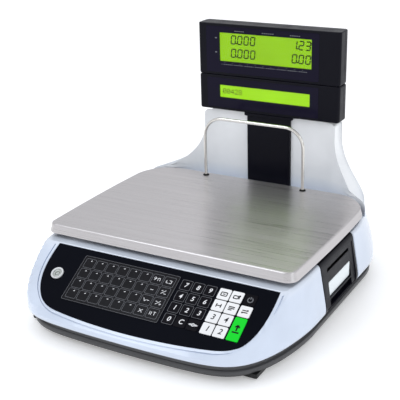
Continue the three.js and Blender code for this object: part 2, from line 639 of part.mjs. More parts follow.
function headShell(y0, y1, openFront, bottom, top, bottomCut, topCut) {
  const skin = prismAlongY(headOutline(bottom, top, bottomCut, topCut), y0, y1);
  const room = prismAlongY(headOutline(bottom, top, bottomCut, topCut, HEAD_WALL),
    openFront ? y0 - 1 : y0 + HEAD_WALL, openFront ? y1 - HEAD_WALL : y1 + 1);
  return skin.subtract(room);
}

function lcdOpening(lcd, y0, y1, grow) {
  return block(lcd.left - grow, lcd.right + grow, y0, y1, lcd.low - grow, lcd.high + grow);
}

function makeHead() {
  const poleRoom = poleBlock(GAP, HEAD_BOTTOM - 5, HEAD_BOTTOM + 9);
  const spineRoom = block(-SPINE_HALF_WIDTH - GAP, SPINE_HALF_WIDTH + GAP, HEAD_SPLIT_Y - 8, SPINE_REAR + GAP,
    HEAD_JOINT - 6, HEAD_JOINT + 6);
  const halves = [["front", HEAD_FRONT, HEAD_SPLIT_Y - 0.15], ["rear", HEAD_SPLIT_Y + 0.15, HEAD_BACK]];
  for (const [side, y0, y1] of halves) {
    const lower = headShell(y0, y1, side === "rear", HEAD_BOTTOM, HEAD_JOINT - 0.3, HEAD_FOOT_CORNER,
      HEAD_EDGE);
    const upper = headShell(y0, y1, side === "rear", HEAD_JOINT + 0.3, HEAD_TOP, HEAD_EDGE, HEAD_EDGE);
    const opening = (lcd) => lcdOpening(lcd, y0 - 9, y1 + 9, GAP);
    const lowerHalf = lower.subtract(poleRoom).subtract(spineRoom);
    addPiece("lower_head_" + side, side === "front" ? lowerHalf.subtract(opening(LOWER_LCD)) : lowerHalf,
      blackPlastic);
    addPiece("upper_head_" + side, upper.subtract(spineRoom).subtract(opening(UPPER_LCD)), blackPlastic);
  }
  const windowDepth = [0.3, 0.3 + WINDOW_SHEET];
  const lcdDepth = [0.3 + WINDOW_SHEET + 1, 9];
  const front = (depths) => depths.map((d) => HEAD_FRONT + d);
  addPiece("upper_window", lcdOpening(UPPER_LCD, ...front(windowDepth), 0), clearPlastic);
  addPiece("lower_window", lcdOpening(LOWER_LCD, ...front(windowDepth), 0), clearPlastic);
  addPiece("upper_lcd", lcdOpening(UPPER_LCD, ...front(lcdDepth), 3), lcdGreen);
  addPiece("lower_lcd", lcdOpening(LOWER_LCD, ...front(lcdDepth), 3), lcdGreen);
  addPiece("customer_window", lcdOpening(UPPER_LCD, HEAD_BACK - windowDepth[1], HEAD_BACK - 0.3, 0),
    clearPlastic);
  const spineClear = block(-POLE_HALF_WIDTH, POLE_HALF_WIDTH, 200, SPINE_REAR + GAP, 260, SPINE_TOP + 10);
  addPiece("customer_lcd", lcdOpening(UPPER_LCD, HEAD_BACK - 7, HEAD_BACK - lcdDepth[0], 3)
    .subtract(spineClear), lcdGreen);
}

// ---------------------------------------------------------------- printer cassette
const ROLL_CENTRE = [127, 59.5];
const ROLL_RADIUS = 29;
const ROLL_HALF_WIDTH = 30;
const CORE_RADIUS = 12;
const PLATEN_CENTRE = [167, 66];
const PLATEN_RADIUS = 6;
const SPOOL_CENTRE = [160, 38];
const SPOOL_RADIUS = 5;
const HEAD_PIVOT = [153.5, 82.3];
const SHAFT_RADIUS = 2.2;
const SHAFT_SIDES = 12;
const CHASSIS_TOP = 90.5;
const CHASSIS_SHEET = 2;
const CHASSIS_OUTER = CASE_HALF_WIDTH - BEZEL_DEPTH + GAP - 0.5;
const PLATE_Y = [BAY_FRONT + 8, BAY_REAR - 8]; // middles of the two side plates
const SHAFT_Y = [PLATE_Y[0] - 1.5, PLATE_Y[1] + 1.5];
const INSIDE_Y = [PLATE_Y[0] + 1.5, PLATE_Y[1] - 1.5];
const ROLL_Y = [CASSETTE_MIDDLE - ROLL_HALF_WIDTH, CASSETTE_MIDDLE + ROLL_HALF_WIDTH];

function makeCassetteBezel() {
  const x0 = CHASSIS_OUTER + 0.5;
  const cut = (depth, low, high) => block(depth, CASE_HALF_WIDTH + 9, CASSETTE_MIDDLE - SLOT_HALF_LENGTH,
    CASSETTE_MIDDLE + SLOT_HALF_LENGTH, low, high);
  const faceBlock = block(x0, CASE_HALF_WIDTH + 5, BAY_FRONT + GAP, BAY_REAR - GAP, CASE_BOTTOM, DECK_TOP);
  const hollow = block(x0 - 1, CASE_HALF_WIDTH - 14, BAY_FRONT + 4, BAY_REAR - 4, CASE_BOTTOM + WALL,
    DECK_TOP - WALL);
  return caseBody(0, CASE_BOTTOM, DECK_TOP).intersect(faceBlock).subtract(hollow)
    .subtract(cut(x0 - 2, SLOT_Z - SLOT_HALF_HEIGHT, SLOT_Z + SLOT_HALF_HEIGHT))
    .subtract(cut(CASE_HALF_WIDTH - FINGER_PULL.depth, FINGER_PULL.low, FINGER_PULL.high))
    .subtract(cut(CASE_HALF_WIDTH - CARD.depth - GAP, CARD.low - GAP, CARD.high + GAP));
}

function makeLabelCard() {
  const left = CASE_HALF_WIDTH - CARD.depth;
  return block(left, left + CARD.sheet, CASSETTE_MIDDLE - SLOT_HALF_LENGTH + GAP,
    CASSETTE_MIDDLE + SLOT_HALF_LENGTH - GAP, CARD.low, CARD.high);
}

function makeChassis() {
  const sheet = CHASSIS_SHEET / 2;
  let chassis = block(BAY_INNER + 1, CHASSIS_OUTER, PLATE_Y[0] - sheet, PLATE_Y[1] + sheet, CASSETTE_FLOOR,
    CASSETTE_FLOOR + CHASSIS_SHEET);
  for (const y of PLATE_Y) {
    chassis = chassis.add(block(BAY_INNER + 1, CHASSIS_OUTER, y - sheet, y + sheet, CASSETTE_FLOOR,
      CHASSIS_TOP));
    for (const centre of [PLATEN_CENTRE, SPOOL_CENTRE, HEAD_PIVOT]) {
      chassis = chassis.subtract(rod(SHAFT_RADIUS + GAP, "y", y - 2, y + 2, centre, SHAFT_SIDES));
    }
  }
  const hubs = [[PLATE_Y[0], CASSETTE_MIDDLE - 12], [CASSETTE_MIDDLE + 12, PLATE_Y[1]]];
  return hubs.reduce((all, ends) => all.add(rod(CORE_RADIUS, "y", ...ends, ROLL_CENTRE)), chassis);
}

function shaft(centre) {
  return rod(SHAFT_RADIUS, "y", ...SHAFT_Y, centre, SHAFT_SIDES);
}

function makeTakeUpSpool() {
  const flange = (y) => rod(9, "y", y, y + 1.6, SPOOL_CENTRE, 16);
  return rod(SPOOL_RADIUS, "y", ...INSIDE_Y, SPOOL_CENTRE, SHAFT_SIDES).add(shaft(SPOOL_CENTRE))
    .add(flange(ROLL_Y[0] - 2)).add(flange(ROLL_Y[1] + 0.4));
}

function makePrintHead() {
  const arm = block(HEAD_PIVOT[0] - 3, PLATEN_CENTRE[0] + 7, ...INSIDE_Y, 80.6, 84.2);
  const heater = block(PLATEN_CENTRE[0] - 5, PLATEN_CENTRE[0] + 5, ...ROLL_Y,
    PLATEN_CENTRE[1] + PLATEN_RADIUS + GAP, 81);
  return arm.add(heater).add(shaft(HEAD_PIVOT));
}

function makeCassette() {
  addPiece("cassette_bezel", makeCassetteBezel(), blackPlastic);
  addPiece("label_card", makeLabelCard(), paperWhite);
  addPiece("cassette_chassis", makeChassis(), zincSteel);
  addPiece("label_roll", rod(ROLL_RADIUS, "y", ...ROLL_Y, ROLL_CENTRE, 36)
    .subtract(rod(CORE_RADIUS + 0.6, "y", ROLL_Y[0] - 1, ROLL_Y[1] + 1, ROLL_CENTRE)), paperWhite);
  addPiece("platen_roller", rod(PLATEN_RADIUS, "y", ...INSIDE_Y, PLATEN_CENTRE).add(shaft(PLATEN_CENTRE)),
    rubberBlack);
  addPiece("take_up_spool", makeTakeUpSpool(), darkGreyPlastic);
  addPiece("print_head", makePrintHead(), castAluminium);
}

function makeFoot(name, x, y) {
  const pad = new THREE.LatheGeometry([[0, 0], [FOOT_RADIUS - 1, 0], [FOOT_RADIUS, 1.2], [FOOT_RADIUS, 4.4],
    [FOOT_RADIUS - 2, 6], [FOOT_STEM_RADIUS, 6], [FOOT_STEM_RADIUS, 21], [0, 21]]
    .map(([r, z]) => new THREE.Vector2(r, z)), 24);
  pad.rotateX(Math.PI / 2);
  pad.translate(x, y, 0);
  addPiece("foot_" + name, toSolid(pad), rubberBlack);
}

addPiece("base_tray", makeBaseTray(), darkGreyPlastic);
addPiece("upper_case", makeUpperCase(), glossWhite);
addPiece("rear_cover", makeRearCover(), glossWhite);
addPiece("power_inlet", makePowerInlet(), blackPlastic);
makeKeypad();
addPiece("load_cell", makeLoadCell(), castAluminium);
addPiece("main_board", block(...MAIN_BOARD), boardGreen);
addPiece("power_supply", block(...POWER_SUPPLY), zincSteel);
addPiece("pole", makePole(), blackPlastic);
addPiece("pole_bracket", makePoleBracket(), zincSteel);
makeHead();
addPiece("spider", makeSpider(), castAluminium);
addPiece("platter", makePlatter(), brushedSteel);
addPiece("guard_wire", makeGuardWire(), chromeWire);
makeCassette();
for (const [name, x, y] of FOOT_PLACES) makeFoot(name, x, y);

export default pieces;
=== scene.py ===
# Retail price scale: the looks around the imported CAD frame. Shapes below are drawn in millimetres.
import json
import math

import bmesh
import bpy
import numpy as np
from mathutils import Matrix, Vector


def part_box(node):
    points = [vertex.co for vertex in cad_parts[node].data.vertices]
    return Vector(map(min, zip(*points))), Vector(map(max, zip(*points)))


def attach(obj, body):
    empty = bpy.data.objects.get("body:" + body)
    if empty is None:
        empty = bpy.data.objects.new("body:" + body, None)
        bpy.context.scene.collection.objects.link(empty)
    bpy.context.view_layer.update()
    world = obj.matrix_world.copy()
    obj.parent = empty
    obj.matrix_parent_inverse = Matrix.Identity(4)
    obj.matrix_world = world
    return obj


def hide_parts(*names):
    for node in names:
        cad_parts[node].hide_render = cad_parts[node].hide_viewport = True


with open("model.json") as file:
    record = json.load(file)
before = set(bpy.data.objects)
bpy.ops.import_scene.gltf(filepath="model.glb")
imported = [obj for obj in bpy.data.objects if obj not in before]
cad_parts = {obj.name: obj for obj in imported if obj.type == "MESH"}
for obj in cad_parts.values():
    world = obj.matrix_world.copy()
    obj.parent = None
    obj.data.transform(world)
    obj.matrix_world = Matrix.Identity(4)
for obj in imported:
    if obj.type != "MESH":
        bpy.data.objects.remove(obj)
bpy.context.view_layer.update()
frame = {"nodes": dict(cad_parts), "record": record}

MM = 0.001
NODES = frame["nodes"]

# ---------------------------------------------------------------- sizes of the case, as in the CAD model
CASE_BOTTOM = 26
DECK_TOP = 96
WALL = 3
GAP = 0.4
KEYPAD_TILT = math.radians(30)
KEYPAD_TOP_Y = -133
KEYPAD_TOP_Z = 95
SHOULDER_Y = -74
FRONT_BOW = 10
REAR_CORNER_WIDTH = 98
REAR_CORNER_DEPTH = 155
OUTLINE_STEPS = 288
POLE_HALF_WIDTH = 36.5
POLE_FRONT = 199
POLE_REAR = 225
FEET = ("front_left", "front_right", "rear_left", "rear_right")
CASE_FRONT = -231
CASE_REAR = 231
FOOT_LEVELS = [  # height, half width, front, rear, depth of the rear corners
    (CASE_BOTTOM, 196.5, -224.5, 227.5, 118), (27, 198.3, -227.5, 229.3, 118),
    (29, 199.5, -229.8, 230.5, 119), (32, 200, -230.8, 231, 120),
]
SIDE_LEVELS = [  # height, half width, depth of the rear corners
    (36, 200, 120), (44, 199, 120), (50, 197.9, 121), (56, 196.9, 122), (62, 195.8, 124), (68, 194.8, 127),
    (74, 193.7, 131), (80, 192.7, 136), (84, 192, 140), (88, 191.3, 145), (91, 190.7, 149), (93, 190, 151.5),
    (94.5, 189.1, 153.5), (95.5, 187.9, 154.5), (DECK_TOP, 186.5, REAR_CORNER_DEPTH),
]
CASE_LEVELS = FOOT_LEVELS + [(z, half_width, CASE_FRONT, CASE_REAR, depth)
                             for z, half_width, depth in SIDE_LEVELS]
KEY_FIELD = (-110, 157, -86, -7)  # left, right, low and high on the keypad's plane
KEYPAD_PLANE = (Matrix.Translation(Vector((0, KEYPAD_TOP_Y, KEYPAD_TOP_Z)))
                @ Matrix.Rotation(KEYPAD_TILT, 4, "X"))


def span(node):
    """A CAD node's box in millimetres: x0, x1, y0, y1, z0, z1."""
    low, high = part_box(node)
    return [value / MM for pair in zip(low, high) for value in pair]


def keypad_span(node):
    """A CAD node's box in the keypad's own plane: x0, x1, y0, y1, z0, z1."""
    inverse = KEYPAD_PLANE.inverted()
    points = np.array([inverse @ (vertex.co / MM) for vertex in NODES[node].data.vertices])
    return [value for pair in zip(points.min(0), points.max(0)) for value in pair]


# ---------------------------------------------------------------- materials
class Paint:
    """A Principled material, with short calls for the nodes that vary it over the surface."""

    def __init__(self, name, colour, roughness, metallic=0.0):
        self.material = bpy.data.materials.new(name)
        self.material.use_nodes = True
        self.tree = self.material.node_tree
        self.shader = self.tree.nodes["Principled BSDF"]
        self.colour = colour
        self.set("Base Color", (*colour, 1))
        self.set("Roughness", roughness)
        self.set("Metallic", metallic)

    def set(self, socket, value):
        self.shader.inputs[socket].default_value = value
        return self

    def node(self, kind, **sockets):
        made = self.tree.nodes.new(kind)
        for name, value in sockets.items():
            made.inputs[name].default_value = value
        return made

    def link(self, start, end):
        self.tree.links.new(start, end)

    def place(self, stretch=(1, 1, 1)):
        mapping = self.node("ShaderNodeMapping", Scale=stretch)
        self.link(self.node("ShaderNodeTexCoord").outputs["Object"], mapping.inputs["Vector"])
        return mapping.outputs["Vector"]

    def noise(self, scale, detail=3.0, stretch=(1, 1, 1)):
        texture = self.node("ShaderNodeTexNoise", Scale=scale, Detail=detail)
        self.link(self.place(stretch), texture.inputs["Vector"])
        return texture.outputs["Fac"]

    def height(self):
        split = self.node("ShaderNodeSeparateXYZ")
        self.link(self.place(), split.inputs["Vector"])
        return split.outputs["Z"]

    def cells(self, scale, stretch=(1, 1, 1)):
        texture = self.node("ShaderNodeTexVoronoi", Scale=scale)
        self.link(self.place(stretch), texture.inputs["Vector"])
        return texture.outputs["Distance"]

    def between(self, source, low, high, start=0.3, end=0.7):
        ranged = self.tree.nodes.new("ShaderNodeMapRange")
        for name, value in zip(("From Min", "From Max", "To Min", "To Max"), (start, end, low, high)):
            ranged.inputs[name].default_value = value
        self.link(source, ranged.inputs["Value"])
        return ranged.outputs["Result"]

    def vary_roughness(self, source, low, high):
        self.link(self.between(source, low, high), self.shader.inputs["Roughness"])
        return self

    def vary_colour(self, source, dark, light, start=0.3, end=0.7, socket="Base Color"):
        ramp = self.tree.nodes.new("ShaderNodeValToRGB")
        for stop, position, colour in zip(ramp.color_ramp.elements, (start, end), (dark, light)):
            stop.position = position
            stop.color = (*colour, 1)
        self.link(source, ramp.inputs["Fac"])
        self.link(ramp.outputs["Color"], self.shader.inputs[socket])
        return self

    def paint_shade_by_height(self, start, end, below, above):
        """Painted shade by height: multiply the colour by one tint under a height and by another over it."""
        ramp = self.tree.nodes.new("ShaderNodeValToRGB")
        for stop, colour in zip(ramp.color_ramp.elements, (below, above)):
            stop.color = (*colour, 1)
        self.link(self.between(self.height(), 0.0, 1.0, start, end), ramp.inputs["Fac"])
        product = self.tree.nodes.new("ShaderNodeVectorMath")
        product.operation = "MULTIPLY"
        base = self.shader.inputs["Base Color"]
        self.link(base.links[0].from_socket, product.inputs[0])
        self.link(ramp.outputs["Color"], product.inputs[1])
        self.link(product.outputs["Vector"], base)
        return self

    def bump(self, source, strength, distance):
        bump = self.node("ShaderNodeBump", Strength=strength, Distance=distance)
        previous = self.shader.inputs["Normal"].links
        if previous:
            self.link(previous[0].from_socket, bump.inputs["Normal"])
        self.link(source, bump.inputs["Height"])
        self.link(bump.outputs["Normal"], self.shader.inputs["Normal"])
        return self


def shade(colour, factor):
    return tuple(min(channel * factor, 1.0) for channel in colour)


def moulded(name, colour, roughness, grain, depth, coat=0.0, specular=0.5):
    """Moulded plastic: an even grain, a slow drift in gloss and a slight drift in colour."""
    paint = Paint(name, colour, roughness)
    paint.vary_colour(paint.noise(14), shade(colour, 0.93), shade(colour, 1.05))
    paint.vary_roughness(paint.noise(55, 5), roughness * 0.85, roughness * 1.2)
    paint.bump(paint.noise(grain, 2), depth, 0.0002)
    paint.set("Coat Weight", coat).set("Coat Roughness", 0.06).set("Specular IOR Level", specular)
    return paint


def bare_metal(name, colour, roughness, stretch, depth):
    """Bare metal with a grain drawn out along one direction."""
    paint = Paint(name, colour, roughness, 1.0)
    grain = paint.noise(1, 6, stretch)
    paint.vary_colour(grain, shade(colour, 0.9), shade(colour, 1.08))
    paint.vary_roughness(grain, roughness * 0.8, roughness * 1.25)
    paint.bump(grain, depth, 0.00004)
    return paint


def make_paints():
    paints = {
        # Painted shade and painted cool reflected light: below about 86 mm the case is painted darker and
        # bluer than the tower above 118 mm.
        "white_case": moulded("gloss_white_abs", (0.9, 0.9, 0.9), 0.22, 700, 0.04, 0.6)
                      .paint_shade_by_height(0.086, 0.118, (0.66, 0.735, 0.87), (0.97, 0.985, 1.0)),
        "black_plastic": moulded("grained_black_abs", (0.0035, 0.0035, 0.0075), 0.36, 2600, 0.25, 0, 0.11),
        "head_panel": moulded("satin_black_panel", (0.0045, 0.003, 0.0155), 0.2, 1500, 0.06, 0, 0.11),
        # Painted shade: below about 10 mm the tray is painted ten times darker, shading its legs and the
        # lower part of its lip.
        "tray_plastic": moulded("tray_painted_shade", (0.07, 0.07, 0.073), 0.42, 1900, 0.3, 0, 0.3)
                        .paint_shade_by_height(0.0095, 0.0105, (0.1, 0.1, 0.1), (1.0, 1.0, 1.0)),
        "grey_plastic": moulded("textured_grey_abs", (0.014, 0.014, 0.016), 0.45, 1900, 0.4, 0, 0.45),
        "foot_rubber": moulded("moulded_rubber", (0.01, 0.01, 0.01), 0.75, 1300, 0.5, 0, 0.3),
        "platen_rubber": moulded("ground_rubber", (0.02, 0.02, 0.021), 0.65, 3200, 0.3),
        "keypad_film": moulded("black_membrane", (0.0018, 0.0024, 0.0055), 0.34, 3400, 0.2, 0, 0.03),
        "preset_film": moulded("clear_over_black_card", (0.006, 0.006, 0.008), 0.2, 2400, 0.15, 0, 0.12),
        "black_key": moulded("black_membrane_key", (0.003, 0.0026, 0.005), 0.33, 3400, 0.15, 0, 0.06),
        "white_key": moulded("white_membrane_key", (0.84, 0.84, 0.85), 0.4, 3400, 0.1, 0, 0.2),
        "green_key": moulded("green_membrane_key", (0.0, 0.66, 0.02), 0.38, 3400, 0.1, 0, 0.15),
        "white_ink": moulded("white_ink", (0.82, 0.82, 0.84), 0.5, 4200, 0.1, 0, 0.2),
        "grey_ink": moulded("grey_ink", (0.15, 0.155, 0.17), 0.5, 4200, 0.1, 0, 0.2),
        "dark_ink": moulded("dark_ink", (0.008, 0.008, 0.01), 0.5, 4200, 0.1, 0, 0.1),
        "vial_plastic": moulded("vial_ring", (0.66, 0.67, 0.68), 0.3, 900, 0.06, 0.3),
        "segment": moulded("liquid_crystal_segment", (0.008, 0.03, 0.002), 0.4, 3000, 0.05, 0, 0.1),
        "cast_aluminium": bare_metal("cast_aluminium", (0.52, 0.53, 0.54), 0.42, (160, 160, 160), 0.5),
        "zinc_steel": bare_metal("zinc_plated_steel", (0.5, 0.505, 0.52), 0.34, (60, 60, 60), 0.2),
        "stainless_wire": bare_metal("drawn_stainless", (0.71, 0.69, 0.65), 0.13, (900, 900, 30), 0.15),
        "screw_steel": bare_metal("blackened_steel", (0.06, 0.06, 0.065), 0.3, (300, 300, 300), 0.2),
    }
    paints["brushed_stainless"] = make_brushed_stainless()
    paints["lcd_glow"] = make_lcd("backlit_panel", (0.31, 0.625, 0.008), (0.285, 0.565, 0.006))
    paints["lcd_glow_low"] = make_lcd("bright_backlit_panel", (0.385, 0.80, 0.012), (0.36, 0.74, 0.01))
    paints["clear_window"] = make_clear("clear_acrylic", (0.98, 1.0, 0.97), 0.03, 1.18)
    paints["vial_liquid"] = make_clear("vial_liquid", (0.94, 0.965, 0.93), 0.02, 1.4)
    paints["circuit_board"] = make_circuit_board()
    paints["label_paper"] = make_paper()
    return paints


def make_brushed_stainless():
    """Stainless sheet brushed along X: fine lines, and a reflection that smears across them."""
    paint = bare_metal("brushed_stainless", (0.57, 0.548, 0.55), 0.31, (7, 1700, 1700), 0.13)
    paint.set("Anisotropic", 0.78)
    tangent = paint.tree.nodes.new("ShaderNodeTangent")
    tangent.direction_type = "UV_MAP"
    tangent.uv_map = "across_grain"
    paint.link(tangent.outputs["Tangent"], paint.shader.inputs["Tangent"])
    return paint


def make_lcd(name, light, dark):
    """A backlit panel: a fine pixel grid over a glow that falls off slowly."""
    paint = Paint(name, shade(light, 0.12), 0.35)
    paint.vary_colour(paint.noise(16, 1), dark, light, socket="Emission Color")
    paint.set("Emission Strength", 0.9).set("Specular IOR Level", 0.08)
    paint.bump(paint.cells(1500), 0.1, 0.00005)
    return paint


def make_clear(name, colour, roughness, ior):
    paint = Paint(name, colour, roughness)
    paint.set("Transmission Weight", 1.0).set("IOR", ior)
    paint.vary_roughness(paint.noise(30, 4), roughness * 0.6, roughness * 1.8)
    return paint


def make_circuit_board():
    """Green solder mask over a net of copper tracks."""
    paint = Paint("solder_mask", (0.015, 0.13, 0.045), 0.35)
    tracks = paint.cells(260, (1, 0.35, 1))
    paint.vary_colour(tracks, (0.02, 0.17, 0.06), (0.01, 0.085, 0.03), 0.25, 0.4)
    paint.vary_roughness(tracks, 0.28, 0.42)
    paint.bump(tracks, 0.3, 0.0001)
    return paint


def make_paper():
    """Matt label stock, wound or flat, with faint edges of the layers."""
    paint = Paint("label_stock", (0.82, 0.87, 0.88), 0.62)
    paint.vary_colour(paint.noise(900, 3), (0.78, 0.83, 0.85), (0.85, 0.9, 0.91))
    paint.bump(paint.noise(2500, 2), 0.25, 0.0001)
    paint.vary_roughness(paint.noise(300), 0.55, 0.7)
    return paint


PAINTS = make_paints()


# ---------------------------------------------------------------- mesh helpers
def mesh_object(name, points, faces):
    """An object from points in millimetres and faces, its faces turned outwards."""
    mesh = bpy.data.meshes.new(name)
    mesh.from_pydata((np.asarray(points, float) * MM).tolist(), [], faces)
    work = bmesh.new()
    work.from_mesh(mesh)
    bmesh.ops.remove_doubles(work, verts=work.verts, dist=1e-7)
    bmesh.ops.recalc_face_normals(work, faces=work.faces)
    work.to_mesh(mesh)
    work.free()
    made = bpy.data.objects.new(name, mesh)
    bpy.context.scene.collection.objects.link(made)
    return made


def loft_faces(levels, count, closed=False, first=0):
    pairs = range(levels if closed else levels - 1)
    return [[first + k * count + i, first + k * count + (i + 1) % count,
             first + (k + 1) % levels * count + (i + 1) % count, first + (k + 1) % levels * count + i]
            for k in pairs for i in range(count)]


def loft(name, rings, closed=False):
    """Skin over rings of equally many points: capped at both ends, or closed on itself."""
    count = len(rings[0])
    faces = loft_faces(len(rings), count, closed)
    if not closed:
        faces.append(list(range(count))[::-1])
        faces.append([(len(rings) - 1) * count + i for i in range(count)])
    return mesh_object(name, np.concatenate([np.asarray(ring, float) for ring in rings]), faces)


def rounded_rectangle(x0, x1, y0, y1, radius, segments=6):
    """Corner points, anticlockwise. The radius is one number, or one for each corner from lower right."""
    radii = radius if isinstance(radius, (tuple, list)) else [radius] * 4
    signs = ((1, -1), (1, 1), (-1, 1), (-1, -1))
    points = []
    for corner, ((sx, sy), r) in enumerate(zip(signs, radii)):
        r = max(r, 0.01)
        cx = (x1 if sx > 0 else x0) - sx * r
        cy = (y1 if sy > 0 else y0) - sy * r
        for i in range(segments + 1):
            angle = math.radians(-90 + 90 * corner + 90 * i / segments)
            points.append((cx + r * math.cos(angle), cy + r * math.sin(angle)))
    return points


def at_height(outline, z):
    return [(x, y, z) for x, y in outline]


def at_depth(outline, y):
    """An outline drawn in X and Z, placed at a depth Y."""
    return [(x, y, z) for x, z in outline]


def block(x0, x1, y0, y1, z0, z1, radius=0.0, segments=4):
    """A box whose upright edges may be rounded."""
    outline = rounded_rectangle(x0, x1, y0, y1, radius, segments if radius else 1)
    return loft("block", [at_height(outline, z0), at_height(outline, z1)])


def lathe(name, profile, centre=(0, 0), steps=48, closed=False):
    """Turns a profile of radius and height about an upright line; an open one starts and ends on the axis."""
    angles = [2 * math.pi * i / steps for i in range(steps)]
    rings = [[(centre[0] + r * math.cos(a), centre[1] + r * math.sin(a), z) for a in angles] for r,
             z in profile]
    return loft(name, rings, closed)


def rectangle(x, y, width, height):
    return [(x, y), (x + width, y), (x + width, y + height), (x, y + height)]


def quarter(radius, steps=5):
    """Pairs of inset and travel for a rounded edge, from the wall (0, 0) to the face (radius, radius)."""
    angles = [math.pi / 2 * i / steps for i in range(steps + 1)]
    return [(radius * (1 - math.cos(a)), radius * math.sin(a)) for a in angles]


def flare(depth, lip, reach, slack=0.2, steps=4):
    """Offsets and growths of a cutter that leaves a rounded lip where it meets a face at offset 0."""
    rounded = [(travel - lip, inset) for inset, travel in quarter(lip, steps)]
    return [(-depth, 0), *rounded, (reach, lip + slack)]


def apply_modifiers(obj):
    graph = bpy.context.evaluated_depsgraph_get()
    mesh = bpy.data.meshes.new_from_object(obj.evaluated_get(graph))
    obj.modifiers.clear()
    obj.data = mesh
    return obj


def combine(first, second, operation):
    modifier = first.modifiers.new("combine", "BOOLEAN")
    modifier.operation = operation
    modifier.solver = "MANIFOLD"
    modifier.object = second
    apply_modifiers(first)
    bpy.data.objects.remove(second, do_unlink=True)
    return first


def cut(first, *tools):
    for tool in tools:
        combine(first, tool, "DIFFERENCE")
    return first


def add(first, *others):
    for other in others:
        combine(first, other, "UNION")
    return first


def join_pieces(name, objects):
    """One mesh of several separate bodies."""
    work = bmesh.new()
    for obj in objects:
        work.from_mesh(obj.data)
        bpy.data.objects.remove(obj, do_unlink=True)
    mesh = bpy.data.meshes.new(name)
    work.to_mesh(mesh)
    work.free()
    made = bpy.data.objects.new(name, mesh)
    bpy.context.scene.collection.objects.link(made)
    return made


def transform(obj, matrix):
    """Moves an object's points by a matrix given in millimetres."""
    scaled = matrix.copy()
    scaled.translation *= MM
    obj.data.transform(scaled)
    return obj


def soften(obj, bevel=0.0, angle=35, segments=2):
    """Rounds the sharp edges of a piece and shades it smooth up to an angle."""
    if bevel:
        modifier = obj.modifiers.new("rounded_edges", "BEVEL")
        modifier.width = bevel * MM
        modifier.segments = segments
        modifier.limit_method = "ANGLE"
        modifier.angle_limit = math.radians(angle)
        modifier.use_clamp_overlap = True
    obj.data.shade_smooth()
    obj.data.set_sharp_from_angle(angle=math.radians(angle))
    weighted = obj.modifiers.new("flat_faces", "WEIGHTED_NORMAL")
    weighted.keep_sharp = True
    return obj


def dress(obj, paint):
    obj.data.materials.clear()
    obj.data.materials.append(PAINTS[paint].material)


def finish_piece(obj, name, paint, body, slot, *replaces, bevel=0.0, angle=30):
    """Names a piece, paints it and fixes it to its body."""
    obj.name = obj.data.name = name
    dress(obj, paint)
    soften(obj, bevel, angle)
    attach(obj, body)
    if replaces:
        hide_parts(*replaces)


def paint_node(node, paint, bevel=0.4):
    """Gives a CAD node its finish and small rounded edges."""
    obj = NODES[node]
    dress(obj, paint)
    obj.modifiers.new("weld", "WELD").merge_threshold = 1e-6
    flat = obj.modifiers.new("flat_faces_whole", "DECIMATE")
    flat.decimate_type = "DISSOLVE"
    flat.angle_limit = math.radians(0.6)
    soften(obj, bevel, 30)


# ---------------------------------------------------------------- case
def inside_outline(x, y, half_width, front, rear, corner_depth):
    """True where points are inside the plan outline: bowed front, elliptical rear corners."""
    across = np.abs(x) / half_width
    depth = SHOULDER_Y - front - FRONT_BOW * across ** 2
    ahead = np.clip((SHOULDER_Y - y) / depth, 0, None)
    in_front = across ** 8 + ahead ** 1.5 < 1
    corner_x = np.clip((np.abs(x) - (half_width - REAR_CORNER_WIDTH)) / REAR_CORNER_WIDTH, 0, None)
    corner_y = np.clip((y - (rear - corner_depth)) / corner_depth, 0, None)
    return np.where(y < SHOULDER_Y, in_front, np.hypot(corner_x, corner_y) < 1)


def outline_radius(angles, *outline):
    near = np.zeros_like(angles)
    far = np.full_like(angles, 400.0)
    for _ in range(34):
        middle = (near + far) / 2
        inside = inside_outline(middle * np.cos(angles), middle * np.sin(angles), *outline)
        near = np.where(inside, middle, near)
        far = np.where(inside, far, middle)
    return near


def smooth_smaller(a, b, blend):
    share = np.clip(0.5 + 0.5 * (b - a) / blend, 0, 1)
    return b + (a - b) * share - blend * share * (1 - share)


def case_ring(z, half_width, front, rear, corner_depth, inset=0.0, blend=9.0):
    """One level of the case, cut back by the sloped keypad plane."""
    angles = 2 * np.pi * np.arange(OUTLINE_STEPS) / OUTLINE_STEPS - np.pi / 2
    radius = outline_radius(angles, half_width - inset, front + inset, rear - inset, corner_depth)
    slope_front = KEYPAD_TOP_Y - (KEYPAD_TOP_Z - z) / math.tan(KEYPAD_TILT) + inset / math.sin(KEYPAD_TILT)
    facing = np.minimum(np.sin(angles), -0.05)
    limited = smooth_smaller(radius, slope_front / facing, blend)
    radius = np.where(np.sin(angles) < -0.05, limited, radius)
    return np.stack([radius * np.cos(angles), radius * np.sin(angles), np.full_like(angles, z)], 1)


def case_half_width(z):
    heights, widths = zip(*[level[:2] for level in CASE_LEVELS])
    return float(np.interp(z, heights, widths))


def cavity_level(z):
    """A level of the hollow inside, which keeps off the rounded edges of the skin."""
    depth = float(np.interp(z, [level[0] for level in CASE_LEVELS], [level[4] for level in CASE_LEVELS]))
    return z, case_half_width(min(max(z, 40), 88)), CASE_FRONT, CASE_REAR, depth


def case_body(inset, bottom, top):
    inner = [level for level in CASE_LEVELS if bottom + 0.2 < level[0] < top - 0.2]
    levels = [(bottom, *CASE_LEVELS[0][1:]), *inner, (top, *CASE_LEVELS[-1][1:])]
    if inset:
        levels = [cavity_level(z) for z, *_ in levels]
    return loft("case_body", [case_ring(*level, inset) for level in levels])


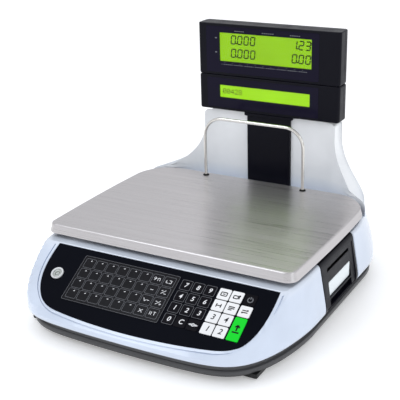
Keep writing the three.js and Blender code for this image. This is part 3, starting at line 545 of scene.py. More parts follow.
def keypad_outline(grow, steps=14):
    """Straight top, sides that lean in, big lower corners and a bowed bottom edge."""
    start = (-157 - grow, grow)
    curves = [
        ((-160 - grow, -34), (-155 - grow, -61), (-139.5 - grow * 0.8, -80)),
        ((-131.5 - grow * 0.7, -90.5), (-121, -96.5 - grow), (-104, -99 - grow)),
        ((-30, -109 - grow), (52, -107.5 - grow), (126, -97 - grow)),
        ((144.5, -94 - grow), (155.5 + grow * 0.7, -88), (161.5 + grow * 0.8, -79)),
        ((173 + grow, -62), (176.5 + grow, -34), (175 + grow, grow)),
    ]
    points = [start]
    for first, second, end in curves:
        for i in range(1, steps + 1):
            t = i / steps
            weights = ((1 - t) ** 3, 3 * t * (1 - t) ** 2, 3 * t * t * (1 - t), t ** 3)
            corners = (start, first, second, end)
            points.append(tuple(sum(w * p[axis] for w, p in zip(weights, corners)) for axis in (0, 1)))
        start = end
    return points


def on_keypad(obj):
    return transform(obj, KEYPAD_PLANE)


def keypad_recess():
    """The cutter of the keypad's recess, flared at the top so that it leaves a rounded lip."""
    rings = [at_height(keypad_outline(GAP + grow), z) for z, grow in flare(1.9, 1.1, 8, 0.4, 5)]
    return on_keypad(loft("recess", rings))


def crease_cutter():
    """The cutter of the fine crease that runs round the sides and bottom of the keypad."""
    pairs = [(outer, inner) for outer, inner in zip(keypad_outline(6), keypad_outline(4.2)) if outer[1] < -1]
    rings = [[(*inner, 3), (*inner, -2.5), (*outer, -2.5), (*outer, 3)] for outer, inner in pairs]
    return on_keypad(loft("crease", rings))


def bay_cutter():
    """The cutter of the cassette's bay in the right side, flared at the skin for a rounded lip."""
    bezel = span("cassette_bezel")
    depth, front, rear, lip = bezel[0] - GAP, bezel[2] - GAP, bezel[3] + GAP, 1.3
    rings = []
    for z in (CASE_BOTTOM - 6, *[level[0] for level in CASE_LEVELS], DECK_TOP + 6):
        wall = case_half_width(z)
        flare = [(wall - travel, inset) for inset, travel in quarter(lip)]
        low = [(x, front - lip + inset) for x, inset in flare]
        high = [(x, rear + lip - inset) for x, inset in flare]
        outer = [(wall + 12, rear + lip), (wall + 12, front - lip)]
        ring = [(depth, front), *low[::-1], outer[1], outer[0], *high, (depth, rear)]
        rings.append(at_height(ring, z))
    return loft("bay", rings)


def tower_profile():
    """Half of the tower's elevation, from the middle of its top to the shoulder of the case."""
    half_width, top, flare_top, flare, corner = 108, span("upper_case")[5], 182, 72, 4
    points = [(x, top) for x in np.linspace(0, half_width - corner, 12)]
    points += [(half_width - corner + corner * math.sin(a), top - corner + corner * math.cos(a))
               for a in np.linspace(0, math.pi / 2, 7)[1:]]
    points += [(half_width, z) for z in (top - 9, flare_top + 4)]
    points += [(half_width + flare * (1 - math.cos(a)), flare_top - flare * math.sin(a))
               for a in np.radians(np.linspace(0, 90, 36))]
    return np.array(points + [(181.3, 109.6), (182.1, 108.3), (182.5, 105.5), (182.6, 101), (182.6, 94)])


def tower_faces(x):
    """Depth of the tower's front and rear faces at a distance from the middle."""
    def elliptical(distance, half_width, rear):
        corner = np.clip((distance - (half_width - REAR_CORNER_WIDTH)) / REAR_CORNER_WIDTH, 0, 1)
        return rear - REAR_CORNER_DEPTH * (1 - np.sqrt(1 - corner ** 2))
    distance = abs(x)
    platter_rear, reach = span("platter")[3] + 5, 63.5
    corner = np.clip((distance - 130) / reach, 0, 1)
    behind_platter = platter_rear - reach * (1 - math.sqrt(1 - corner ** 2))
    front = max(behind_platter, elliptical(distance, 180, 205))
    rear = max(elliptical(distance, 189.8, CASE_REAR), front + 1.6)
    return front, rear


def make_tower():
    """The raised back of the case: front and rear faces that follow the platter, with rounded edges."""
    half = tower_profile()
    profile = np.concatenate([half[::-1], half[1:] * (-1, 1)])
    tangent = np.gradient(profile, axis=0)
    normal = np.stack([-tangent[:, 1], tangent[:, 0]], 1)
    normal /= np.linalg.norm(normal, axis=1)[:, None]
    centre, edge = np.array([0.0, 78.0]), 3.0
    rings = []
    for point, outward in zip(profile, normal):
        front, rear = tower_faces(point[0])
        radius = min(edge, 0.45 * (rear - front))
        inner = point - outward * radius
        rows = [(centre + (inner - centre) * share, 0.0) for share in np.linspace(0, 1, 14)]
        rows += [(point - outward * inset, radius - travel)
                 for inset, travel in quarter(radius)[::-1][1:]]
        rows = [(p, min(offset, radius)) for p, offset in rows]
        near = [(p[0], tower_faces(p[0])[0] + offset, p[1]) for p, offset in rows]
        far = [(p[0], tower_faces(p[0])[1] - offset, p[1]) for p, offset in rows]
        rings.append(near + far[::-1])
    return loft("tower", rings)


def make_upper_case():
    shell = add(case_body(0, CASE_BOTTOM, DECK_TOP), make_tower())
    cut(shell, case_body(WALL, CASE_BOTTOM - 1, DECK_TOP - WALL))
    pole, cover = span("pole"), span("rear_cover")
    cut(shell, block(cover[0] + 3, cover[1] - 3, 208.5, 228, 70, 197))
    cut(shell, pole_hole(84, pole[5] + 5))
    cut(shell, block(cover[0] - GAP, cover[1] + GAP, cover[2] - 2, cover[3] + 9, cover[4] - GAP,
                     cover[5] + GAP))
    post = lathe("post_hole", [(19, DECK_TOP - 10), (19, DECK_TOP + 5)], (0, 80))
    cut(shell, post, bay_cutter(), keypad_recess())
    cut(shell, crease_cutter())
    window = rounded_rectangle(*KEY_FIELD, 4)
    cut(shell, on_keypad(loft("window", [at_height(window, -15), at_height(window, 2)])))
    cut(shell, on_keypad(vial_hole(10.2, -15)))
    finish_piece(shell, "case_shell", "white_case", "base", "white_case", "upper_case", angle=32)


def span_middle(box):
    return (box[0] + box[1]) / 2, (box[2] + box[3]) / 2


def vial_hole(radius, low):
    return lathe("vial_hole", [(radius, low), (radius, 2)], span_middle(keypad_span("level_vial")))


def make_tray():
    """The dark tray: a rolled lip, a seam under the case, corner legs and the sill of the cassette bay."""
    def ring(z, inset, half_width=197, corner_depth=118):
        return case_ring(z, half_width, -225, 228, corner_depth, inset, 0.6)
    lip = [(7, 9), (7.4, 7.2), (8.4, 5.6), (10, 4.6), (12, 4.4), (14.2, 4.6), (15.4, 5.1)]
    outer = loft("tray", [ring(z, inset, 198.8, 105) for z, inset in lip]
                 + [ring(z, inset) for z, inset in ((16.2, 5.4), (16.8, 6.4), (24, 6.2), (32, 5))])
    inner = loft("tray_room", [ring(z, inset) for z, inset in ((10, 10), (24, 9), (33, 8))])
    tray = cut(outer, inner)
    for name in FEET:
        x, y = span_middle(span("foot_" + name))
        leg = [at_height(rounded_rectangle(x - 18.4 + e, x + 18.4 - e, y - 18.4 + e, y + 18.4 - e, 3 - e), z)
               for z, e in ((2.6, 0.9), (2.9, 0.4), (3.6, 0), (9, 0))]
        add(tray, loft("leg", leg), lathe("boss", [(11, 8), (11, 24)], (x, y)))
        cut(tray, lathe("bore", [(5, 1), (5, 25)], (x, y)), lathe("recess", [(14.4, 1), (14.4, 8.2)], (x, y)))
    bezel, chassis = span("cassette_bezel"), span("cassette_chassis")
    sill_top = chassis[4] - GAP
    sill = block(95, 172, bezel[2] + 4, bezel[3] - 4, 8, sill_top)
    add(tray, cut(sill, block(94, 169, bezel[2] + 7, bezel[3] - 7, 11.5, sill_top - 2.5)))
    cut(tray, block(bezel[0] - GAP, 206, bezel[2] - GAP, bezel[3] + GAP, sill_top - 0.5, 40))
    finish_piece(tray, "tray_shell", "tray_plastic", "base", "grey_plastic", "base_tray", angle=32)


def make_feet():
    """Rubber pads with a ribbed edge and a hollow sole, on threaded studs."""
    sole = [(0, 0.8), (6, 0.8), (6.6, 0), (11.8, 0), (12.7, 0.5), (13, 1.4), (12.4, 2.2), (13, 3),
            (12.4, 3.8),
            (12.8, 4.5), (11.2, 6), (5, 6), (4.4, 6.6)]
    thread = [(4.4 if i % 2 else 3.7, 7.2 + i * 0.6) for i in range(22)]
    profile = [*sole, *thread, (3.4, 21), (0, 21)]
    for name in FEET:
        foot = lathe("foot", [(max(r, 0.001), z) for r, z in profile], span_middle(span("foot_" + name)))
        finish_piece(foot, "foot_pad_" + name, "foot_rubber", "foot_" + name, "foot_rubber", "foot_" + name,
                     angle=40)


# ---------------------------------------------------------------- platter and guard
def platter_outline(grow, arc=14, side=16):
    """Bowed sides, small front corners and big rear corners, anticlockwise from the front."""
    x1, y0, y1 = span("upper_case")[1] - 15 + grow, -119 - grow, 158 + grow
    small, big = 12 + grow, 55 + grow
    points = [(x, y0) for x in np.linspace(-x1 + small, x1 - small, 24)]
    points += [(x1 - small + small * math.cos(a), y0 + small + small * math.sin(a))
               for a in np.linspace(-math.pi / 2, 0, arc)[1:]]
    bow = [(1 - t, t) for t in np.linspace(0, 1, side)[1:-1]]
    points += [(x1 + 8 * s * t, (y0 + small) * s ** 2 + 2 * s * t * (y0 + y1) / 2 + (y1 - big) * t ** 2)
               for s, t in bow]
    points += [(x1 - big + big * math.cos(a), y1 - big + big * math.sin(a))
               for a in np.linspace(0, math.pi / 2, 2 * arc)]
    half = [(x, y) for x, y in points if x > 1e-6]
    return half + [(-x, y) for x, y in half[::-1]]


def make_platter():
    """Folded stainless sheet: flat top, tight fold, flared rim with a hemmed edge."""
    top, sheet = span("platter")[5], 1.2
    fold = [(travel - 1.4, 0.0 - (2.2 - math.sqrt(max(2.2 ** 2 - travel ** 2, 0))))
            for travel in (0, 0.55, 1.1, 1.55, 1.9, 2.15)]
    outside = [(-9, 0), *fold, (1.2, -3.6), (2.25, -8.3), (2.75, -8.9), (3.4, -12), (3.3, -12.4),
               (2.9, -12.5)]
    inside = [(2.5, -12.4), (2.2, -11.8), (1.4, -8.6), (0.0, -3.8), (-0.6, -2.2), (-1.6, -sheet),
              (-9, -sheet)]
    rings = [at_height(platter_outline(grow), top + z) for grow, z in outside + inside]
    platter = loft("platter_sheet", rings)
    for side in (-1, 1):
        cut(platter, lathe("wire_hole", [(3.6, top - 6), (3.6, top + 2)], (side * 82, 147), 24))
    finish_piece(platter, "platter_sheet", "brushed_stainless", "platter", "brushed_stainless", "platter",
                 angle=40)
    layer = platter.data.uv_layers.new(name="across_grain")
    for loop in platter.data.loops:
        point = platter.data.vertices[loop.vertex_index].co
        layer.data[loop.index].uv = (point.y + point.z * 0.9, point.x)


def sweep(name, path, radius, sides=16):
    """A round bar along a path that lies in one upright plane, with domed ends."""
    path = np.asarray(path, float)
    tangent = np.gradient(path, axis=0)
    tangent /= np.linalg.norm(tangent, axis=1)[:, None]
    across = np.array([0.0, 1.0, 0.0])
    rings = []
    for i, (point, direction) in enumerate(zip(path, tangent)):
        side = np.cross(direction, across)
        near_end = min(i, len(path) - 1 - i)
        r = radius * (0.6, 0.92, 1.0)[min(near_end, 2)]
        rings.append([point + r * (math.cos(a) * across + math.sin(a) * side)
                      for a in 2 * np.pi * np.arange(sides) / sides])
    return loft(name, rings)


def make_guard_wire():
    """The bent wire that keeps goods off the pole, and the grommets at its feet."""
    x0, x1, y0, y1, foot, top = span("guard_wire")
    radius = (y1 - y0) / 2
    reach, y, bend = (x1 - x0) / 2 - radius, (y0 + y1) / 2, 30
    crest = top - radius
    legs = [(reach, y, z) for z in (foot, foot + 0.5, foot + 1.2,
                                    *np.linspace(foot + 6, crest - bend, 8)[:-1])]
    arc = [(reach - bend + bend * math.cos(a), y, crest - bend + bend * math.sin(a))
           for a in np.linspace(0, math.pi / 2, 20)]
    half = legs + arc
    path = half + [(-x, y, z) for x, y, z in half[::-1]]
    finish_piece(sweep("wire", path, radius), "guard_bar", "stainless_wire", "platter", "stainless_wire",
                 "guard_wire", angle=60)
    top = span("platter")[5]
    profile = [(2.5, top - 2.6), (4.6, top - 2.6), (5, top - 1.6), (3.5, top - 1.3), (3.5, top + 0.1),
               (4.9, top + 0.2), (4.7, top + 0.9), (3.8, top + 1.5), (2.7, top + 1.8), (2.5, top + 1.5)]
    for side, name in ((-1, "left"), (1, "right")):
        finish_piece(lathe("grommet", profile, (side * reach, y), 32, True), "wire_grommet_" + name,
                     "foot_rubber", "platter",
                     "foot_rubber", angle=40)


# ---------------------------------------------------------------- display head and pole
def head_ring(box, y, inset_x, inset_z, bottom_radius, top_radius):
    x0, x1, _, _, z0, z1 = box
    radii = [max(r - inset_z, 0.3) for r in (bottom_radius, top_radius, top_radius, bottom_radius)]
    outline = rounded_rectangle(x0 + inset_x, x1 - inset_x, z0 + inset_z, z1 - inset_z, radii)
    return at_depth(outline, y)


def head_solid(box, plan_radius, edge, bottom_radius, top_radius, faces_rear):
    """Half a display housing: a slab with rounded upright edges at its face and a finer edge above."""
    face, seam = (box[3], box[2]) if faces_rear else (box[2], box[3])
    turn = 1 if faces_rear else -1
    levels = [(seam, 0.3, 0.3), (seam + turn * 0.3, 0, 0)]
    for inset_x, travel in quarter(plan_radius, 8):
        beyond = max(edge - (plan_radius - travel), 0)
        inset_z = edge - math.sqrt(max(edge ** 2 - beyond ** 2, 0))
        levels.append((face - turn * (plan_radius - travel), inset_x, inset_z))
    return loft("head", [head_ring(box, y, inset_x, inset_z, bottom_radius, top_radius)
                         for y, inset_x, inset_z in levels])


def window_cutter(box, face, turn, depth, lip=0.8):
    """The cutter of a display's window, flared at the face for a rounded lip."""
    x0, x1, z0, z1 = box
    rings = []
    for offset, grow in flare(depth, lip, 4):
        outline = rounded_rectangle(x0 - grow, x1 + grow, z0 - grow, z1 + grow, 1.2 + grow)
        rings.append(at_depth(outline, face + turn * offset))
    return loft("window", rings)


def window_opening(node):
    lens = span(node)
    return lens[0] - GAP, lens[1] + GAP, lens[4] - GAP, lens[5] + GAP


def make_front_housing(level, radii):
    """A front housing with room for the display inside, and the raised panel round its window."""
    box, opening = span(level + "_head_front"), window_opening(level + "_window")
    shell = head_solid(box, 4.5, 1.6, *radii, False)
    cut(shell, loft("room", [head_ring(box, y, 2.5, 2.5, *radii) for y in (box[2] + 2.5, box[3] + 6)]),
        window_cutter(opening, box[2], -1, 12))
    left, right, low, high = box[0] + 14, box[1] - 33, box[4] + 4, box[5] - 4
    levels = ((0.4, 0), (-0.25, 0), (-0.5, 0.25), (-0.6, 0.8))
    panel = loft("panel", [at_depth(rounded_rectangle(left + i, right - i, low + i, high - i, 2.5 - i),
                                    box[2] + y)
                           for y, i in levels])
    cut(panel, window_cutter(opening, box[2] - 0.6, -1, 12))
    finish_piece(panel, level + "_panel", "head_panel", "base", "black_plastic", angle=32)
    return shell


def make_rear_housing(level, radii):
    """A rear housing, open towards the front, with the customer's window in the upper one."""
    box = span(level + "_head_rear")
    shell = head_solid(box, 8, 2, *radii, True)
    cut(shell, loft("room", [head_ring(box, y, 4, 2.5, *radii) for y in (box[2] - 6, box[3] - 2.5)]))
    if level == "upper":
        cut(shell, window_cutter(window_opening("customer_window"), box[3], 1, 12))
    return shell


def make_heads():
    for level, radii in (("lower", (3, 3)), ("upper", (3, 1.6))):
        for side, make in (("front", make_front_housing), ("rear", make_rear_housing)):
            node = level + "_head_" + side
            shell = make(level, radii)
            if level == "lower":
                foot = span(node)[4]
                cut(shell, pole_hole(foot - 5, foot + 9))
            cut(shell, block(-32.9, 32.9, 205, 223.4, 258.5, 270.5))
            finish_piece(shell, level + "_housing_" + side, "black_plastic", "base", "black_plastic", node,
                         angle=32)


def pole_hole(low, high):
    half_width = POLE_HALF_WIDTH + GAP
    return block(-half_width, half_width, POLE_FRONT - GAP, POLE_REAR + GAP, low, high, 3.2)


def make_pole():
    """The pole: a square tube with rounded edges, a collar under the head and its inner spine."""
    x0, x1 = -POLE_HALF_WIDTH, POLE_HALF_WIDTH
    tube = block(x0, x1, POLE_FRONT, POLE_REAR, 34, 221, 3, 5)
    collar = loft("collar", [at_height(rounded_rectangle(x0 - 4 + i, x1 + 4 - i, 197 + i, 226 - i, 3.5), z)
                             for z, i in ((203.5, 0.8), (204.3, 0), (207.8, 0), (208.6, 0.8))])
    add(tube, collar)
    cut(tube, block(x0 + 2, x1 - 2, POLE_FRONT + 2, POLE_REAR - 2, 33, 219, 1.5))
    add(tube, block(x0 + 4, x1 - 4, 215, 223, 200, 330, 1))
    cut(tube, block(x0 + 7, x1 - 7, 208, 220.5, 200, 340))
    finish_piece(tube, "pole_tube", "black_plastic", "base", "black_plastic", "pole", angle=32)


SEGMENTS = {"0": "abcdef", "1": "bc", "2": "abdeg", "3": "abcdg"}  # the bars that each numeral lights


def bar(x0, y0, x1, y1, width):
    """A six-sided bar between two points, as on a seven-segment display."""
    mitre, gap = width * 0.5, 0.15
    start, end = np.array([x0, y0], float), np.array([x1, y1], float)
    along = (end - start) / np.linalg.norm(end - start)
    side = np.array([-along[1], along[0]]) * width / 2
    a, b = start + along * mitre, end - along * mitre
    return [start + along * gap, a - side, b - side, end - along * gap, b + side, a + side]


def numeral_shapes(text, left, low, pitch, width, height, thick):
    """Outlines of seven-segment numerals; a full stop sits at the foot of the gap after its numeral."""
    shapes, x = [], left
    for character in text:
        if character == ".":
            shapes.append(rectangle(x - pitch + width + thick * 0.6, low, thick, thick))
            continue
        right, middle, high, slant = x + width, low + height / 2, low + height, 0.1
        ends = {"a": (x, high, right, high), "b": (right, high, right, middle),
                "c": (right, middle, right, low), "d": (right, low, x, low), "e": (x, low, x, middle),
                "f": (x, middle, x, high), "g": (x, middle, right, middle)}
        for x0, y0, x1, y1 in (ends[lit] for lit in SEGMENTS[character]):
            shapes.append(bar(x0 + (y0 - low) * slant, y0, x1 + (y1 - low) * slant, y1, thick))
        x += pitch
    return shapes


def keypad_print(name, shapes, top, thickness=0.05):
    """Ink on the keypad: thin plates at a height over its plane."""
    return plates(name, shapes, lambda x, y, h: tuple(KEYPAD_PLANE @ Vector((x, y, top + h))), thickness)


def plates(name, shapes, place, thickness):
    """One mesh of thin plates from flat outlines, each placed in space by a function of x, y and height."""
    points, faces = [], []
    for shape in shapes:
        first, count = len(points), len(shape)
        points += [place(x, y, 0.0) for x, y in shape] + [place(x, y, thickness) for x, y in shape]
        faces += loft_faces(2, count, first=first)
        faces += [[first + i for i in range(count)][::-1], [first + count + i for i in range(count)]]
    return mesh_object(name, points, faces)


DOT_ROWS = {  # five by seven dot patterns, one number for each row
    "0": (14, 17, 19, 21, 25, 17, 14), "1": (4, 12, 4, 4, 4, 4, 14), "2": (14, 17, 1, 2, 4, 8, 31),
    "4": (2, 6, 10, 18, 31, 2, 2), "8": (14, 17, 17, 14, 17, 17, 14),
}


def dot_shapes(text, left, low, dot):
    return [rectangle(left + (place * 6 + column) * dot, low + (6 - row) * dot, dot * 0.88, dot * 0.88)
            for place, character in enumerate(text) for row, bits in enumerate(DOT_ROWS[character])
            for column in range(5) if bits >> (4 - column) & 1]


def make_displays():
    for node in ("upper_lcd", "lower_lcd", "customer_lcd"):
        paint_node(node, "lcd_glow_low" if node == "lower_lcd" else "lcd_glow", 0.0)
    for node in ("upper_window", "lower_window", "customer_window"):
        paint_node(node, "clear_window", 0.15)
    pitch, width, height, thick = 10.9, 6.9, 12.4, 1.9
    lens, panel = span("upper_window"), span("upper_lcd")
    left, right, low = lens[0] + 18.4, lens[1] - 3.2, lens[5] - 16.2
    rows = [("0.000", left, low), ("1.23", right - 2 * pitch - width, low), ("0.000", left, low - 20.6),
            ("0.00", right - 2 * pitch - width, low - 20.6)]
    shapes = []
    for text, x, z in rows:
        shapes += numeral_shapes(text, x, z, pitch, width, height, thick)
    middle = lens[0] + lens[1]
    front = plates("numerals", shapes, lambda x, z, h: (x, panel[2] - 0.25 + h, z), 0.15)
    finish_piece(front, "upper_numerals", "segment", "base", "lcd_glow")
    panel = span("customer_lcd")
    back = plates("numerals", shapes, lambda x, z, h: (middle - x, panel[3] + 0.1 + h, z), 0.15)
    finish_piece(back, "customer_numerals", "segment", "base", "lcd_glow")
    lens, panel = span("lower_window"), span("lower_lcd")
    dots = dot_shapes("00428", lens[0] + 4, lens[4] + 5.6, 1.15)
    text = plates("dots", dots, lambda x, z, h: (x, panel[2] - 0.25 + h, z), 0.15)
    finish_piece(text, "lower_dots", "segment", "base", "lcd_glow")
    make_head_marks()


def make_head_marks():
    """Short generic dashes printed round the upper window, in place of words."""
    left, right, _, _, low, high = span("upper_window")
    face = span("upper_head_front")[2] - 0.62
    starts = np.linspace(left + 26, right - 34, 3)
    shapes = [rectangle(start + i * 3.4, high + 3.4, 2.3, 1.3)
              for group, start in enumerate(starts) for i in range(5 + group % 2)]
    shapes += [rectangle(left + 3 + i * 3.6, low - 5.4, 2.5 if i % 5 else 1.2, 1) for i in range(40)]
    shapes += [[(x, low - 2.8), (x + 1.4, low - 2.8), (x + 0.7, low - 1.5)]
               for x in (left + 8 + i * 13 for i in range(11))]
    shapes += [rectangle(left - 8, high - drop, 3.4, 1.8) for drop in (9, 31)]
    marks = plates("marks", shapes, lambda x, z, h: (x, face + h, z), 0.06)
    finish_piece(marks, "display_marks", "grey_ink", "base", "black_plastic")


# ---------------------------------------------------------------- keypad
def frame_shapes(x0, x1, y0, y1, radius, width):
    """A rounded frame, as a chain of four-sided pieces."""
    outer = rounded_rectangle(x0, x1, y0, y1, radius, 3)
    inner = rounded_rectangle(x0 + width, x1 - width, y0 + width, y1 - width, radius - width * 0.8, 3)
    count = len(outer)
    return [[outer[i], outer[(i + 1) % count], inner[(i + 1) % count], inner[i]] for i in range(count)]


def stroke(points, width):
    """A line of even width, as one four-sided piece for each stretch."""
    shapes = []
    for (ax, ay), (bx, by) in zip(points, points[1:]):
        length = math.hypot(bx - ax, by - ay)
        sx, sy = -(by - ay) / length * width / 2, (bx - ax) / length * width / 2
        shapes.append([(ax - sx, ay - sy), (bx - sx, by - sy), (bx + sx, by + sy), (ax + sx, ay + sy)])
    return shapes


def ring_points(radius, start=0, end=360, steps=20, centre=(0, 0)):
    return [(radius * math.cos(a) + centre[0], radius * math.sin(a) + centre[1])
            for a in np.radians(np.linspace(start, end, steps + 1))]


ICONS = {  # generic symbols as lines, about 10 across, for the keys that hold words
    "label": [[(-4, -2.5), (4, -2.5), (4, 2.5), (-4, 2.5), (-4, -2.5)], [(-1.6, 0), (1.8, 0)]],
    "feed": [[(-4, -2.5), (2, -2.5), (2, 1.5), (-4, 1.5), (-4, -2.5)], [(3.6, -2.5), (3.6, 2.8)],
             [(2.6, 1.2), (3.6, 3), (4.6, 1.2)]],
    "fix": [[(-3, -2.6), (-3, 2.6)], [(3, -2.6), (3, 2.6)], [(-3, 0), (3, 0)]],
    "lookup": [[(-4, 2.2), (4, 2.2)], [(-4, 0), (4, 0)], [(-4, -2.2), (1, -2.2)]],
    "change": [[(-4, 1.4), (4, 1.4)], [(2.4, 2.8), (4, 1.4)], [(-4, -1.4), (4, -1.4)],
               [(-2.4, -2.8), (-4, -1.4)]],
    "print": [[(-3, -3), (3, -3)], [(0, -1.6), (0, 3.6)], [(-1.9, 1.6), (0, 3.8), (1.9, 1.6)]],
    "power": [ring_points(3.4, 120, 420), [(0, 1), (0, 4.4)]],
    "zero_tare": [[(-6, 0), (-2.6, 0)], [(-3.8, 1.2), (-2.6, 0), (-3.8, -1.2)], ring_points(1.7, 0, 360, 12),
                  [(6, 0), (2.6, 0)], [(3.8, 1.2), (2.6, 0), (3.8, -1.2)]],
}
NUMERAL_KEYS = {**{digit: digit for digit in "0123456789"}, "clear": "C",
                **{"clerk_" + digit: digit for digit in "1234"}}


def numeral_mesh(name, text, size, centre, height):
    """A bold slanted numeral standing a hair above the keypad's plane."""
    curve = bpy.data.curves.new(name, "FONT")
    curve.body = text
    curve.size = size * MM
    curve.shear = 0.18
    curve.offset = 0.013 * size * MM
    curve.extrude = 0.03 * MM
    curve.align_x = "CENTER"
    curve.align_y = "CENTER"
    source = bpy.data.objects.new(name, curve)
    bpy.context.scene.collection.objects.link(source)
    graph = bpy.context.evaluated_depsgraph_get()
    mesh = bpy.data.meshes.new_from_object(source.evaluated_get(graph))
    bpy.data.objects.remove(source, do_unlink=True)
    bpy.data.curves.remove(curve)
    made = bpy.data.objects.new(name, mesh)
    bpy.context.scene.collection.objects.link(made)
    return on_keypad(transform(made, Matrix.Translation(Vector((*centre, height)))))


def key_paint(name):
    return next(row["material_slot"] for row in frame["record"]["subparts"] if row["node"] == name)


def make_keys():
    keys = [node for node in NODES if node.startswith("key_")]
    for node in sorted(keys):
        slot = key_paint(node)
        paint_node(node, slot, 0.22)
        box, name = keypad_span(node), node[4:]
        centre, top = span_middle(box), box[5] + 0.02
        ink = "white_ink" if slot == "black_key" else "dark_ink"
        if name in NUMERAL_KEYS:
            size = 9.2 if slot == "black_key" else 10.4
            legend = numeral_mesh("legend", NUMERAL_KEYS[name], size, centre, top + 0.03)
        else:
            lines = ICONS[name]
            scale = 1.5 if name == "print" else 1.0
            width = 1.35 * scale
            shapes = [shape for line in lines
                      for shape in stroke([(centre[0] + x * scale, centre[1] + y * scale) for x, y in line],
                                          width)]
            legend = keypad_print("legend", shapes, top, 0.06)
        paint = "grey_ink" if name == "power" else ink
        finish_piece(legend, "legend_" + name, paint, node, slot)
        if slot == "black_key" and name not in ("power", "zero_tare", "clear"):
            edge = frame_shapes(box[0] + 0.35, box[1] - 0.35, box[2] + 0.35, box[3] - 0.35, 1.6, 0.42)
            finish_piece(keypad_print("edge", edge, top), "outline_" + name, "grey_ink", node, slot)


def make_overlay():
    """The membrane's film with a rounded edge, open round each key."""
    levels = [(-0.1, -1.4), (0, -1.3), (0, -0.42), (-0.07, -0.27), (-0.22, -0.2)]
    film = loft("film", [at_height(keypad_outline(grow), z) for grow, z in levels])
    holes = [vial_hole(9.5, -3)]
    for node in NODES:
        if node.startswith("key_"):
            box = keypad_span(node)
            outline = rounded_rectangle(box[0] - 0.35, box[1] + 0.35, box[2] - 0.35, box[3] + 0.35, 1.2, 3)
            holes.append(loft("key_hole", [at_height(outline, -3), at_height(outline, 2)]))
    cut(film, join_pieces("holes", holes))
    finish_piece(on_keypad(film), "keypad_face", "keypad_film", "base", "keypad_film", "keypad_overlay",
                 angle=35)
    make_presets()


def make_presets():
    """The clear sheet over the 32 preset keys: cell outlines, corner marks and symbols."""
    paint_node("preset_key_sheet", "preset_film", 0.15)
    x0, x1, y0, y1, _, top = keypad_span("preset_key_sheet")
    columns, rows, margin = 8, 4, 3.5
    width, height = (x1 - x0 - 2 * margin) / columns, (y1 - y0 - 2 * margin) / rows
    outlines, marks = [], []
    for row in range(rows):
        for column in range(columns):
            left, low = x0 + margin + column * width, y1 - margin - (row + 1) * height
            outlines += frame_shapes(left + 0.8, left + width - 0.8, low + 0.8, low + height - 0.8, 1.8, 0.42)
            if column < 6:
                mark_x, mark_y = left + width * 0.52, low + height * 0.72
                marks.append([(mark_x - 1.2, mark_y), (mark_x + 1.2, mark_y), (mark_x + 1.2, mark_y + 1.6)])
            else:
                cx, cy = left + width / 2, low + height / 2
                marks += preset_symbol(row * 2 + column - 6, cx, cy)
    edge = frame_shapes(x0 + 0.5, x1 - 0.5, y0 + 0.5, y1 - 0.5, 2, 0.35)
    finish_piece(keypad_print("lines", outlines + edge, top + 0.02), "preset_outlines", "grey_ink", "base",
                 "preset_film")
    finish_piece(keypad_print("symbols", marks, top + 0.02), "preset_marks", "white_ink", "base",
                 "preset_film")


def preset_symbol(index, cx, cy):
    """A small generic symbol for one of the eight function presets."""
    lines = [
        [[(-4, -2), (-1, 2)], ring_points(1.3, steps=8, centre=(-3.4, 1.6)),
         [(1, -2), (1, 2), (4, 2), (4, -2)]],
        [[(-4, 2), (-4, -2), (-1, -2)], [(0, 2), (3.4, 2), (3.4, -2), (0, -2)]],
        [[(-2.2, 0), (2.2, 0)]],
        [[(-3.4, -2.6), (2.4, 3)], [(0.6, -2.2), (4, -2.2)], [(-4, 2), (-1.6, 2)]],
        [[(-4.4, 2.4), (-2, -2), (0, 0.6)], [(1, 0), (4.4, 0)]],
        [[(-3.4, -2.8), (2.4, 2.8)], [(1.6, -1.6), (4.6, -1.6)], [(-4.4, 1.6), (-1.6, 1.6)],
         [(3.1, -3), (3.1, -0.2)]],
        [[(-2.6, -2.4), (2.6, 2.4)], [(-2.6, 2.4), (2.6, -2.4)]],
        [[(-4, -2.4), (-4, 2.4)], [(-1.8, -2.4), (-1.8, 2.4)], [(0.8, 2.4), (4.4, 2.4)],
         [(2.6, 2.4), (2.6, -2.4)]],
    ][index]
    return [shape for line in lines for shape in stroke([(cx + x, cy + y) for x, y in line], 0.7)]


def make_vial():
    """The round spirit level: a ring, a domed window over pale liquid and a marked circle."""
    centre = span_middle(keypad_span("level_vial"))
    ring = [(6.3, -3), (8.9, -3), (9, 0.5), (8.75, 1.0), (8.1, 1.3), (7.3, 1.2), (6.6, 0.7), (6.3, 0.2)]
    finish_piece(on_keypad(lathe("ring", ring, centre, 64, True)), "vial_ring", "vial_plastic", "base",
                 "vial_plastic", "level_vial", angle=50)
    cup = [(0.001, -7), (6.2, -7), (6.2, -1.2), (0.001, -1.2)]
    finish_piece(on_keypad(lathe("cup", cup, centre)), "vial_liquid", "vial_plastic", "base",
                 "vial_plastic", bevel=0.2, angle=40)
    dome = [(0.001, -0.9), (6.2, -0.9), (6.2, 0.1), (5.2, 0.4), (3.4, 0.7), (1.5, 0.85), (0.001, 0.9)]
    finish_piece(on_keypad(lathe("dome", dome, centre, 64)), "vial_window", "vial_liquid", "base",
                 "vial_plastic", angle=50)
    circle = stroke(ring_points(2.7, steps=40, centre=centre), 0.5)
    finish_piece(keypad_print("circle", circle, -1.15, 0.1), "vial_circle", "dark_ink", "base",
                 "vial_plastic")


# ---------------------------------------------------------------- printer cassette
def skin_x(z, inset=0.0):
    return case_half_width(z) - inset


def side_cutter(y0, y1, z0, z1, depth, lip=0.9, radius=1.5):
    """A cutter into the cassette's face, flared where it meets the leaning skin."""
    rings = []
    for offset, grow in flare(depth, lip, 6):
        outline = rounded_rectangle(y0 - grow, y1 + grow, z0 - grow, z1 + grow, radius + grow, 4)
        rings.append([(skin_x(z, FACE_INSET) + offset, y, z) for y, z in outline])
    return loft("side_cutter", rings)


FACE_INSET = 0.9


